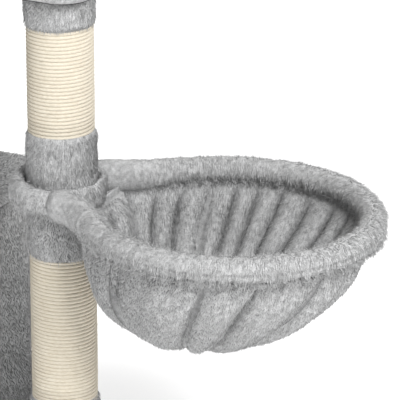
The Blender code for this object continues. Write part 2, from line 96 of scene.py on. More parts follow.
class Graph:
    """A node tree that is being filled, with short forms for the nodes used most."""

    def __init__(self, tree: bpy.types.NodeTree) -> None:
        """Keeps the tree.

        Args:
            tree: The material's or the modifier's node tree.
        """
        self.tree = tree

    def add(self, kind: str, inputs: dict | None = None, **settings: object) -> bpy.types.Node:
        """Adds a node.

        Args:
            kind: The node's type.
            inputs: A value or another node's socket for each input, by name or number.
            **settings: The node's own options.

        Returns:
            The node.
        """
        node = self.tree.nodes.new(kind)
        for name, value in settings.items():
            setattr(node, name, value)
        for key, value in (inputs or {}).items():
            if isinstance(value, bpy.types.NodeSocket):
                self.tree.links.new(value, node.inputs[key])
            else:
                node.inputs[key].default_value = value
        return node

    def math(self, operation: str, first: object, second: object = 0.0) -> bpy.types.NodeSocket:
        """Works out one sum on two numbers."""
        return self.add("ShaderNodeMath", {0: first, 1: second}, operation=operation).outputs[0]

    def vector(self, operation: str, first: object, second: object = (0, 0, 0)) -> bpy.types.NodeSocket:
        """Works out one sum on two vectors."""
        return self.add("ShaderNodeVectorMath", {0: first, 1: second}, operation=operation).outputs[0]

    def scaled(self, vector: object, factor: object) -> bpy.types.NodeSocket:
        """Multiplies a vector by a number."""
        return self.add("ShaderNodeVectorMath", {0: vector, 3: factor}, operation="SCALE").outputs[0]

    def mix(self, share: object, first: object, second: object) -> bpy.types.NodeSocket:
        """Mixes two colours."""
        return self.add("ShaderNodeMix", {0: share, 6: first, 7: second}, data_type="RGBA").outputs[2]

    def span(self, value: object, start: Span, end: Span) -> bpy.types.NodeSocket:
        """Maps a number from one range to another, without passing its ends."""
        inputs = {0: value, 1: start[0], 2: start[1], 3: end[0], 4: end[1]}
        return self.add("ShaderNodeMapRange", inputs).outputs[0]

    def noise(self, where: object, scale: float, detail: float = 2.0) -> bpy.types.Node:
        """Adds a noise texture."""
        return self.add("ShaderNodeTexNoise", {"Vector": where, "Scale": scale, "Detail": detail})

    def place(self, stretch: tuple[float, float, float] = (1, 1, 1)) -> bpy.types.NodeSocket:
        """The point's own object coordinates, stretched along each axis."""
        own = self.add("ShaderNodeTexCoord").outputs["Object"]
        return self.add("ShaderNodeMapping", {"Vector": own, "Scale": stretch}).outputs[0]

    def bump(self, height: object, distance: float, strength: float = 1.0) -> bpy.types.NodeSocket:
        """Turns a height into a bent normal."""
        inputs = {"Height": height, "Distance": distance, "Strength": strength}
        return self.add("ShaderNodeBump", inputs).outputs[0]


def start_material(name: str) -> tuple[bpy.types.Material, Graph, bpy.types.Node]:
    """Makes an empty material.

    Args:
        name: The material's name.

    Returns:
        The material, its graph and its Principled shader.
    """
    material = bpy.data.materials.new(name)
    material.use_nodes = True
    return material, Graph(material.node_tree), material.node_tree.nodes["Principled BSDF"]


# Finishes


@dataclass(frozen=True)
class PlushFinish:
    """Faux fur: a knitted back and a pile whose tips are lighter than its roots; the darker roots are painted
    shade among the tufts.
    """

    name: str
    root: Colour
    tip: Colour
    patch: float = 170.0        # patches of lighter and darker pile per metre
    contrast: float = 0.13
    follow: float = 0.50        # how far a tuft is shaded as the surface that it grows on
    sheen: float = 0.25
    slot: Slot = Slot.PLUSH

    @cache
    def back(self) -> bpy.types.Material:
        """The knitted cloth that shows between the tufts."""
        material, graph, shader = start_material(f"{self.name}_back")
        where = graph.place()
        patches = graph.noise(where, self.patch, 3.0).outputs["Fac"]
        fibres = graph.noise(where, 900.0, 2.0).outputs["Fac"]
        tone = graph.math("MULTIPLY", graph.math("ADD", patches, fibres), 0.5)
        # painted shade: the cloth is darker down in the skin's creases
        dim = graph.add("ShaderNodeAttribute", attribute_name="dim").outputs["Fac"]
        colour = graph.mix(graph.span(tone, (0.3, 0.7), (0.0, 0.9)), self.root, self.tip)
        graph.tree.links.new(graph.scaled(colour, dim), shader.inputs["Base Color"])
        graph.tree.links.new(graph.bump(fibres, 0.0006), shader.inputs["Normal"])
        shader.inputs["Roughness"].default_value = 0.95
        shader.inputs["Specular IOR Level"].default_value = 0.1
        return material

    @cache
    def pile(self) -> bpy.types.Material:
        """The tufts: painted darker at the root and in creases as painted shade, each of its own brightness,
        in soft patches.
        """
        material, graph, shader = start_material(f"{self.name}_pile")
        tip = graph.add("ShaderNodeAttribute", attribute_name="tip").outputs["Fac"]
        shade = graph.add("ShaderNodeAttribute", attribute_name="shade").outputs["Fac"]
        stand = graph.add("ShaderNodeAttribute", attribute_name="stand").outputs["Vector"]
        patches = graph.noise(graph.place(), self.patch, 3.0).outputs["Fac"]
        own = graph.span(shade, (0.0, 1.0), (1 - self.contrast, 1 + self.contrast))
        local = graph.span(patches, (0.3, 0.7), (1 - self.contrast, 1 + self.contrast))
        # painted shade: each tuft runs from the dark root colour up to the lighter tip colour
        along = graph.mix(graph.math("POWER", tip, 0.7), self.root, self.tip)
        # painted shade: darker down in the skin's creases
        dim = graph.add("ShaderNodeAttribute", attribute_name="dim").outputs["Fac"]
        colour = graph.scaled(along, graph.math("MULTIPLY", graph.math("MULTIPLY", own, local), dim))
        graph.tree.links.new(colour, shader.inputs["Base Color"])
        turn = {"Vector": stand}
        skin = graph.add(
            "ShaderNodeVectorTransform", turn, vector_type="NORMAL", convert_from="OBJECT", convert_to="WORLD"
        ).outputs[0]
        face = graph.add("ShaderNodeNewGeometry").outputs["Normal"]
        both = graph.vector("ADD", graph.scaled(skin, self.follow), graph.scaled(face, 1 - self.follow))
        graph.tree.links.new(graph.vector("NORMALIZE", both), shader.inputs["Normal"])
        shader.inputs["Roughness"].default_value = 0.85
        shader.inputs["Specular IOR Level"].default_value = 0.15
        shader.inputs["Sheen Weight"].default_value = self.sheen
        shader.inputs["Sheen Roughness"].default_value = 0.5
        return material


@dataclass(frozen=True)
class SisalFinish:
    """Natural rope: straw and cream fibres that run round the post."""

    dark: Colour = (0.56, 0.50, 0.40, 1.0)
    light: Colour = (0.66, 0.61, 0.51, 1.0)
    hair: Colour = (0.84, 0.79, 0.68, 1.0)

    @cache
    def rope(self) -> bpy.types.Material:
        """The twisted strands."""
        material, graph, shader = start_material("sisal_rope")
        fibres = graph.noise(graph.place((1.0, 1.0, 6.0)), 260.0, 4.0).outputs["Fac"]
        lengths = graph.noise(graph.place(), 38.0, 2.0).outputs["Fac"]
        tone = graph.math("ADD", graph.math("MULTIPLY", fibres, 0.75), graph.math("MULTIPLY", lengths, 0.25))
        colour = graph.mix(graph.span(tone, (0.34, 0.60), (0.0, 1.0)), self.dark, self.light)
        graph.tree.links.new(colour, shader.inputs["Base Color"])
        graph.tree.links.new(graph.bump(fibres, 0.0005), shader.inputs["Normal"])
        shader.inputs["Roughness"].default_value = 0.8
        shader.inputs["Specular IOR Level"].default_value = 0.25
        return material

    @cache
    def fibre(self) -> bpy.types.Material:
        """The loose hairs that stand off the rope."""
        material, graph, shader = start_material("sisal_fibre")
        shade = graph.add("ShaderNodeAttribute", attribute_name="shade").outputs["Fac"]
        graph.tree.links.new(graph.mix(shade, self.dark, self.hair), shader.inputs["Base Color"])
        shader.inputs["Roughness"].default_value = 0.6
        return material


@dataclass(frozen=True)
class GrainFinish:
    """A raw or coated hard surface with a grain of two colours."""

    name: str
    dark: Colour
    light: Colour
    grain: float                # per metre
    stretch: tuple[float, float, float] = (1, 1, 1)
    roughness: Span = (0.7, 0.9)
    metallic: float = 0.0
    relief: float = 0.0003

    @cache
    def material(self) -> bpy.types.Material:
        """The surface."""
        material, graph, shader = start_material(self.name)
        grain = graph.noise(graph.place(self.stretch), self.grain, 4.0).outputs["Fac"]
        colour = graph.mix(graph.span(grain, (0.35, 0.65), (0.0, 1.0)), self.dark, self.light)
        graph.tree.links.new(colour, shader.inputs["Base Color"])
        rough = graph.span(grain, (0.3, 0.7), self.roughness)
        graph.tree.links.new(rough, shader.inputs["Roughness"])
        graph.tree.links.new(graph.bump(grain, self.relief), shader.inputs["Normal"])
        shader.inputs["Metallic"].default_value = self.metallic
        return material


PLUSH = PlushFinish("plush", grey(0.22, -0.004), grey(0.66, -0.004), contrast=0.20)
# painted light: a lighter copy of the plush, for the rim and the collar that the key lights from above
LIT_RIM_PLUSH = PlushFinish("rim_plush", grey(0.27, -0.004), grey(0.70, -0.004), contrast=0.20)
# painted shade: a darker copy of the plush, for the lining, the condo's mat and the bed's cushion, which lie
# inside other parts
SHADED_INNER_PLUSH = PlushFinish(
    "inner_plush", grey(0.22, -0.004), grey(0.62, -0.004), contrast=0.20, slot=Slot.PLUSH_INNER
)
SISAL = SisalFinish()
HARD = {
    Slot.BOARD: GrainFinish("particle_board", (0.30, 0.19, 0.10, 1), (0.60, 0.45, 0.28, 1), 320.0),
    Slot.PAPER_TUBE: GrainFinish("kraft_tube", (0.36, 0.25, 0.15, 1), (0.50, 0.38, 0.25, 1), 90.0, (1, 1, 5)),
    Slot.LINER: GrainFinish("non_woven", (0.012, 0.012, 0.013, 1), (0.035, 0.035, 0.037, 1), 700.0),
    Slot.ZINC: GrainFinish(
        "zinc_plate",
        (0.44, 0.45, 0.46, 1),
        (0.60, 0.60, 0.58, 1),
        240.0,
        roughness=(0.30, 0.50),
        metallic=1.0,
        relief=0.00005,
    ),
    Slot.WIRE: GrainFinish(
        "powder_coat",
        (0.020, 0.020, 0.021, 1),
        (0.045, 0.045, 0.046, 1),
        1500.0,
        roughness=(0.40, 0.55),
        relief=0.0001,
    ),
}


# Mesh helpers


def to_object(
    bm: bmesh.types.BMesh, name: str, material: bpy.types.Material | None = None
) -> bpy.types.Object:
    """Turns a bmesh into an object at the origin.

    Args:
        bm: The shape, which is freed.
        name: The object's name.
        material: Its only material.

    Returns:
        The object, in the scene.
    """
    mesh = bpy.data.meshes.new(name)
    bm.to_mesh(mesh)
    bm.free()
    mesh.shade_smooth()
    return from_mesh(mesh, name, material)


def from_mesh(mesh: bpy.types.Mesh, name: str, material: bpy.types.Material | None) -> bpy.types.Object:
    """Puts a mesh into the scene under a name, with one material."""
    mesh.materials.clear()
    if material:
        mesh.materials.append(material)
    made = bpy.data.objects.new(name, mesh)
    bpy.context.scene.collection.objects.link(made)
    return made


def evaluated(source: bpy.types.Object) -> bpy.types.Mesh:
    """A new mesh of an object with its modifiers applied."""
    graph = bpy.context.evaluated_depsgraph_get()
    return bpy.data.meshes.new_from_object(
        source.evaluated_get(graph), preserve_all_data_layers=True, depsgraph=graph
    )


def discard(scratch: bpy.types.Object) -> None:
    """Removes a scratch object."""
    bpy.data.objects.remove(scratch, do_unlink=True)


def face_out(bm: bmesh.types.BMesh) -> None:
    """Merges doubles and points a closed shape's faces out, or an open one's away from its middle."""
    bmesh.ops.remove_doubles(bm, verts=bm.verts, dist=1e-6)
    bm.normal_update()
    bmesh.ops.recalc_face_normals(bm, faces=bm.faces)
    bm.normal_update()
    if any(e.is_boundary for e in bm.edges):
        middle = sum((v.co for v in bm.verts), Vector()) / len(bm.verts)
        outward = sum(f.normal.dot(f.calc_center_median() - middle) * f.calc_area() for f in bm.faces)
    else:
        outward = bm.calc_volume(signed=True)
    if outward < 0:
        bmesh.ops.reverse_faces(bm, faces=bm.faces)


def turned(profile: list[Vector], sides: int, axis: Vector) -> bmesh.types.BMesh:
    """Spins an open profile, given in the XZ plane, about an upright axis.

    Args:
        profile: Points from one end of the profile to the other, relative to the axis.
        sides: Number of steps of the spin.
        axis: A point on the axis.

    Returns:
        The shell, open where the profile is.
    """
    bm = bmesh.new()
    corners = [bm.verts.new(point) for point in profile]
    edges = [bm.edges.new(pair) for pair in zip(corners, corners[1:])]
    bmesh.ops.spin(
        bm, geom=edges, axis=(0, 0, 1), cent=(0, 0, 0), angle=math.tau, steps=sides, use_merge=True
    )
    bmesh.ops.translate(bm, verts=bm.verts, vec=axis)
    face_out(bm)
    return bm


def tube(steps: int, sides: int, place: Callable[[float, float], Vector], closed: bool) -> bmesh.types.BMesh:
    """Spins a round section into a ring and moves each of its points to where a path wants it.

    Args:
        steps: Sections along the path.
        sides: Points in a section.
        place: Gives a point's place from its share of the path, 0 to 1, and its angle in the section.
        closed: Whether the path ends where it starts.

    Returns:
        The closed tube.
    """
    bm = bmesh.new()
    made = bmesh.ops.create_circle(bm, segments=sides, radius=0.3)
    upright = Matrix.Translation((1, 0, 0)) @ Matrix.Rotation(math.pi / 2, 4, "X")
    bmesh.ops.transform(bm, matrix=upright, verts=made["verts"])
    turn = math.tau if closed else math.tau * 0.9
    bmesh.ops.spin(
        bm, geom=bm.edges[:], axis=(0, 0, 1), cent=(0, 0, 0), angle=turn, steps=steps, use_merge=closed
    )
    bmesh.ops.remove_doubles(bm, verts=bm.verts, dist=1e-5)
    if not closed:
        bmesh.ops.holes_fill(bm, edges=[e for e in bm.edges if e.is_boundary], sides=sides)
    for v in bm.verts:
        share = math.atan2(v.co.y, v.co.x) % math.tau / turn
        if not closed and share > 1.02:
            share = 0.0
        v.co = place(share, math.atan2(v.co.z, math.hypot(v.co.x, v.co.y) - 1))
    face_out(bm)
    return bm


def plate(x_span: Span, y_span: Span, z_span: Span, corner: float, edge: float = 0.0) -> bmesh.types.BMesh:
    """A closed plate with rounded corners, and its top and bottom rims rounded over.

    Args:
        x_span: Its ends along X.
        y_span: Its ends along Y.
        z_span: Its underside and its top.
        corner: Radius of its four corners, seen from above.
        edge: Radius of its rims.

    Returns:
        The plate.
    """
    bm = bmesh.new()
    bmesh.ops.create_cube(bm, size=1)
    size = Vector((x_span[1] - x_span[0], y_span[1] - y_span[0], z_span[1] - z_span[0]))
    middle = Vector((sum(x_span), sum(y_span), sum(z_span))) / 2
    bmesh.ops.scale(bm, verts=bm.verts, vec=size)
    bmesh.ops.translate(bm, verts=bm.verts, vec=middle)
    upright = [e for e in bm.edges if abs(e.verts[0].co.z - e.verts[1].co.z) > size.z / 2]
    round_over(bm, upright, corner, 8)
    if edge:
        for level in z_span:
            rim = [e for e in bm.edges if all(abs(v.co.z - level) < 1e-6 for v in e.verts)]
            round_over(bm, rim, edge, 4)
    return bm


def round_over(bm: bmesh.types.BMesh, edges: list[bmesh.types.BMEdge], radius: float, segments: int) -> None:
    """Rounds the given edges."""
    bmesh.ops.bevel(
        bm,
        geom=edges,
        offset=radius,
        affect="EDGES",
        segments=segments,
        profile=0.5,
        material=-1,
        clamp_overlap=True,
    )


def cut_grid(bm: bmesh.types.BMesh, step: float) -> None:
    """Cuts a shape across at even distances along each axis, so that it can bend."""
    for axis in range(3):
        low = min(v.co[axis] for v in bm.verts)
        high = max(v.co[axis] for v in bm.verts)
        count = max(1, round((high - low) / step))
        normal = Vector((axis == 0, axis == 1, axis == 2))
        for number in range(1, count):
            level = low + (high - low) * number / count
            geometry = bm.verts[:] + bm.edges[:] + bm.faces[:]
            bmesh.ops.bisect_plane(bm, geom=geometry, dist=1e-6, plane_co=normal * level, plane_no=normal)


def ripple(bm: bmesh.types.BMesh, depth: float, size: float, seed: int) -> None:
    """Moves a surface in and out in soft random waves.

    Args:
        bm: The surface.
        depth: The most that a point moves.
        size: Width of a wave.
        seed: Picks the pattern.
    """
    bm.normal_update()
    offset = Vector((seed * 7.3, seed * 3.1, seed * 5.7))
    for v, normal in [(v, v.normal.copy()) for v in bm.verts]:
        v.co += normal * depth * noise.noise(v.co / size + offset)


def drop_faces(bm: bmesh.types.BMesh, unwanted: Callable[[bmesh.types.BMFace], bool]) -> None:
    """Deletes the faces that a test picks."""
    bmesh.ops.delete(bm, geom=[f for f in bm.faces if unwanted(f)], context="FACES")


def inset(span: Span, distance: float) -> Span:
    """A span made smaller at both ends."""
    return (span[0] + distance, span[1] - distance)


def spans(node: str) -> tuple[Span, Span, Span]:
    """The ends of a CAD node along each axis."""
    low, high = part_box(node)
    return (low.x, high.x), (low.y, high.y), (low.z, high.z)


def middle_of(node: str) -> Vector:
    """The middle of a CAD node's box."""
    low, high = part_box(node)
    return (low + high) / 2


def thicken(skin: bpy.types.Object, thickness: float) -> None:
    """Gives a sheet its thickness, inwards."""
    wall = skin.modifiers.new("thickness", "SOLIDIFY")
    wall.thickness = thickness
    wall.offset = -1.0


def read_vectors(mesh: bpy.types.Mesh, name: str) -> np.ndarray:
    """The vertices' places or normals as rows of an array."""
    values = np.empty(len(mesh.vertices) * 3)
    mesh.vertices.foreach_get(name, values)
    return values.reshape(-1, 3)


def store(mesh: bpy.types.Mesh, name: str, values: np.ndarray) -> None:
    """Keeps a number or a vector for each vertex under a name."""
    vector = values.ndim == 2
    attribute = mesh.attributes.new(name, "FLOAT_VECTOR" if vector else "FLOAT", "POINT")
    attribute.data.foreach_set("vector" if vector else "value", values.astype(np.float32).ravel())


def crease_shade(mesh: bpy.types.Mesh, strength: float = 3.5, most: float = 0.50) -> np.ndarray:
    """How bright each vertex of a skin is painted: 1 in the open, less down in its creases, as painted shade.

    Args:
        mesh: The skin's mesh.
        strength: How quickly a crease turns dark.
        most: The most that is taken away.

    Returns:
        The painted brightness of each vertex.
    """
    places, normals = read_vectors(mesh, "co"), read_vectors(mesh, "normal")
    ends = np.empty(len(mesh.edges) * 2, dtype=np.int64)
    mesh.edges.foreach_get("vertices", ends)
    one, other = ends.reshape(-1, 2).T
    way = places[other] - places[one]
    way /= np.maximum(np.linalg.norm(way, axis=1, keepdims=True), 1e-9)
    count = np.maximum(np.bincount(ends, minlength=len(places)), 1)

    def gather(at_one: np.ndarray, at_other: np.ndarray) -> np.ndarray:
        """The mean over each vertex's edges."""
        total = np.bincount(one, at_one, len(places)) + np.bincount(other, at_other, len(places))
        return total / count

    bend = gather((normals[one] * way).sum(1), -(normals[other] * way).sum(1))
    for _ in range(2):
        bend = (bend + gather(bend[other], bend[one])) / 2
    return 1 - np.clip(bend * strength, 0, most)


# Pile


@dataclass(frozen=True)
class Pile:
    """How the tufts of a plush stand on its skin."""

    spacing: float              # least distance between two tufts
    length: float
    thickness: float            # across a tuft's root
    lean: float = 0.55          # how far a tuft lies along the comb
    mess: float = 0.35          # how far it strays
    clump: float = 0.016        # width of a lock of tufts that stray together
    bend: float = 0.35          # how far its tip hangs over, by its length
    jointed: bool = True        # whether it has a bend at all

    def tuft(self) -> bpy.types.Object:
        """One tuft of length 1, standing on the origin and bending towards +X."""
        bm = bmesh.new()
        root = self.thickness / self.length / 2
        bmesh.ops.create_circle(bm, cap_ends=True, segments=3, radius=root)
        levels = ((0.50, 0.85, 0.22), (1.00, 0.0, 1.0)) if self.jointed else ((1.00, 0.0, 1.0),)
        before = 0.0
        for height, width, over in levels:
            top = max(bm.faces, key=lambda f: f.calc_center_median().z if f.is_valid else -1)
            raised = bmesh.ops.extrude_face_region(bm, geom=[top])["geom"]
            ring = [item for item in raised if isinstance(item, bmesh.types.BMVert)]
            bmesh.ops.translate(bm, verts=ring, vec=(0, 0, height - before))
            before = height
            middle = sum((v.co for v in ring), Vector()) / 3
            for v in ring:
                v.co = middle + (v.co - middle) * width
            bmesh.ops.translate(bm, verts=ring, vec=(over * self.bend - middle.x, 0, 0))
        bmesh.ops.remove_doubles(bm, verts=bm.verts, dist=root * 0.05)
        bmesh.ops.triangulate(bm, faces=bm.faces)
        bmesh.ops.recalc_face_normals(bm, faces=bm.faces)
        made = to_object(bm, "tuft")
        store(made.data, "tip", read_vectors(made.data, "co")[:, 2])
        return made

    def nodes(self, tuft: bpy.types.Object, seed: int) -> bpy.types.NodeTree:
        """The node group that scatters the tuft over a skin.

        Args:
            tuft: The tuft that is copied.
            seed: Picks the scatter.

        Returns:
            The group, which reads the skin's comb, grow and cover attributes.
        """
        tree = bpy.data.node_groups.new("pile", "GeometryNodeTree")
        tree.interface.new_socket("Geometry", in_out="INPUT", socket_type="NodeSocketGeometry")
        tree.interface.new_socket("Geometry", in_out="OUTPUT", socket_type="NodeSocketGeometry")
        graph = Graph(tree)
        skin = graph.add("NodeGroupInput").outputs[0]

        def named(name: str, kind: str) -> bpy.types.NodeSocket:
            """Reads one of the skin's attributes."""
            return graph.add("GeometryNodeInputNamedAttribute", {"Name": name}, data_type=kind).outputs[0]

        cover = named("cover", "FLOAT")
        inputs = {"Mesh": skin, "Distance Min": self.spacing, "Density Max": 1.2 / self.spacing**2}
        inputs |= {"Density Factor": cover, "Seed": seed}
        scatter = graph.add("GeometryNodeDistributePointsOnFaces", inputs, distribute_method="POISSON")
        chance = graph.add("FunctionNodeRandomValue", {8: seed + 1}, data_type="FLOAT").outputs[1]
        keep = {"Geometry": scatter.outputs["Points"], "Name": "stand", "Value": scatter.outputs["Normal"]}
        points = graph.add("GeometryNodeStoreNamedAttribute", keep, data_type="FLOAT_VECTOR").outputs[0]
        keep = {"Geometry": points, "Name": "shade", "Value": chance}
        points = graph.add("GeometryNodeStoreNamedAttribute", keep, data_type="FLOAT").outputs[0]

        where = graph.add("GeometryNodeInputPosition").outputs[0]
        drift = graph.noise(where, 1 / self.clump, 1.0).outputs["Color"]
        lock = graph.vector("SUBTRACT", drift, (0.5, 0.5, 0.5))
        inputs = {0: (-0.5, -0.5, -0.5), 1: (0.5, 0.5, 0.5), 8: seed + 2}
        stray = graph.add("FunctionNodeRandomValue", inputs, data_type="FLOAT_VECTOR").outputs[0]
        stray = graph.vector("ADD", graph.scaled(lock, 4.0 * self.mess), graph.scaled(stray, self.mess))
        comb = graph.vector("ADD", named("comb", "FLOAT_VECTOR"), stray)
        flow = graph.scaled(comb, self.lean)
        upright = graph.scaled(named("stand", "FLOAT_VECTOR"), 1 - self.lean)
        spin = {"Rotation": (0, 0, 0), "Vector": graph.vector("ADD", upright, flow)}
        turn = graph.add("FunctionNodeAlignRotationToVector", spin, axis="Z").outputs[0]
        spin = {"Rotation": turn, "Vector": comb}
        turn = graph.add("FunctionNodeAlignRotationToVector", spin, axis="X", pivot_axis="Z").outputs[0]
        inputs = {2: 0.70 * self.length, 3: 1.25 * self.length, 8: seed + 3}
        size = graph.add("FunctionNodeRandomValue", inputs, data_type="FLOAT").outputs[1]
        size = graph.math("MULTIPLY", size, named("grow", "FLOAT"))
        shape = graph.add("GeometryNodeObjectInfo", {"Object": tuft}).outputs["Geometry"]
        inputs = {"Points": points, "Instance": shape, "Rotation": turn, "Scale": size}
        copies = graph.add("GeometryNodeInstanceOnPoints", inputs).outputs[0]
        real = graph.add("GeometryNodeRealizeInstances", {"Geometry": copies}).outputs[0]
        graph.add("NodeGroupOutput", {0: real})
        return tree

    def grow(
        self, skin: bpy.types.Object, name: str, material: bpy.types.Material, seed: int
    ) -> bpy.types.Object:
        """Grows the pile on a skin.

        Args:
            skin: The skin, whose mesh has comb, grow and cover attributes and no thickness yet.
            name: The pile's name.
            material: The pile's material.
            seed: Picks the scatter.

        Returns:
            The pile as one piece.
        """
        tuft = self.tuft()
        host = bpy.data.objects.new("host", skin.data)
        bpy.context.scene.collection.objects.link(host)
        host.modifiers.new("pile", "NODES").node_group = self.nodes(tuft, seed)
        mesh = evaluated(host)
        discard(host)
        discard(tuft)
        for extra in ("comb", "grow", "cover"):
            if extra in mesh.attributes:
                mesh.attributes.remove(mesh.attributes[extra])
        mesh.shade_smooth()
        return from_mesh(mesh, name, material)


@dataclass
class Brush:
    """Which way a skin's pile is combed: down, and away from an upright axis."""

    axis: Vector
    spread: float = 0.6         # how far it is combed outwards on level ground
    down: float = 1.0
    inwards: bool = False       # whether the pile beyond the crest is combed to the axis

    def comb(self, mesh: bpy.types.Mesh) -> np.ndarray:
        """The comb's direction at each vertex, along the surface."""
        places = read_vectors(mesh, "co")
        normals = read_vectors(mesh, "normal")
        away = places - np.array(self.axis)
        away[:, 2] = 0
        away /= np.maximum(np.linalg.norm(away, axis=1, keepdims=True), 1e-6)
        if self.inwards:
            outer = (normals * away).sum(1, keepdims=True)
            away *= np.clip(outer * 4 + 0.6, -1, 1)
        wish = away * self.spread + np.array((0, 0, -self.down))
        wish -= normals * (wish * normals).sum(1, keepdims=True)
        return wish / np.maximum(np.linalg.norm(wish, axis=1, keepdims=True), 1e-6)

    def apply(
        self,
        skin: bpy.types.Object,
        grow: Callable[[np.ndarray, np.ndarray], np.ndarray] | None = None,
        cover: Callable[[np.ndarray, np.ndarray], np.ndarray] | None = None,
    ) -> None:
        """Stores what a pile reads on a skin.

        Args:
            skin: The skin.
            grow: Gives the share of the full length from the places and normals, 1 where left out.
            cover: Gives the share of tufts that grow, 1 where left out.
        """
        mesh = skin.data
        places, normals = read_vectors(mesh, "co"), read_vectors(mesh, "normal")
        # painted shade: the skin's creases get a darker colour, which the back's and the pile's materials
        # read
        store(mesh, "dim", crease_shade(mesh))
        store(mesh, "comb", self.comb(mesh))
        store(mesh, "grow", grow(places, normals) if grow else np.ones(len(places)))
        store(mesh, "cover", cover(places, normals) if cover else np.ones(len(places)))


# Sub-assemblies


@dataclass
class SubAssembly:
    """Part of the tree that is built and dressed together."""

    body: Body = Body.TREE

    def keep(self, piece: bpy.types.Object, slot: Slot, *nodes: str) -> bpy.types.Object:
        """Hands a finished piece to the frame.

        Args:
            piece: The piece, in its place.
            slot: Its material slot; not used.
            *nodes: The CAD nodes that it stands for.

        Returns:
            The piece.
        """
        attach(piece, self.body.value)
        if nodes:
            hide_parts(*nodes)
        LOG.info("%s: %d faces", piece.name, len(piece.data.polygons))
        return piece

    def furnish(
        self,
        skin: bpy.types.Object,
        finish: PlushFinish,
        pile: Pile,
        seed: int,
        node: str,
        cloth: float = 0.0,
    ) -> bpy.types.Object:
        """Grows the pile on a combed skin and hands both to the frame.

        Args:
            skin: The skin, which a Brush has been applied to.
            finish: The plush's finish.
            pile: The pile to grow.
            seed: Picks the scatter.
            node: The CAD node that the skin stands for.
            cloth: Thickness of the skin's cloth, where it is a sheet.

        Returns:
            The pile.
        """
        name = skin.name.removesuffix("_wrap")
        grown = pile.grow(skin, f"{name}_pile", finish.pile(), seed)
        if cloth:
            thicken(skin, cloth)
        self.keep(skin, finish.slot, node)
        self.keep(grown, finish.slot)
        return grown

    def dress(self, slot: Slot, *nodes: str) -> None:
        """Gives CAD nodes the finish of a hard material."""
        for name in nodes:
            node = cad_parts[name]
            node.data.materials.clear()
            node.data.materials.append(HARD[slot].material())


def measured_area(piece: bpy.types.Object) -> float:
    """Half the surface of a thickened sheet, in square metres."""
    mesh = evaluated(piece)
    area = sum(face.area for face in mesh.polygons) / 2
    bpy.data.meshes.remove(mesh)
    return area


def declare_sheet(
    piece: bpy.types.Object, width: float, length: float, held: Held
) -> None:
    """Logs a sheet's cut size and the area that it measures.

    Args:
        piece: The sheet.
        width: Its cut width.
        length: Its cut length.
        held: How it is held; not used.
    """
    LOG.info("%s: cut %.3f x %.3f, measures %.4f m2", piece.name, width, length, measured_area(piece))


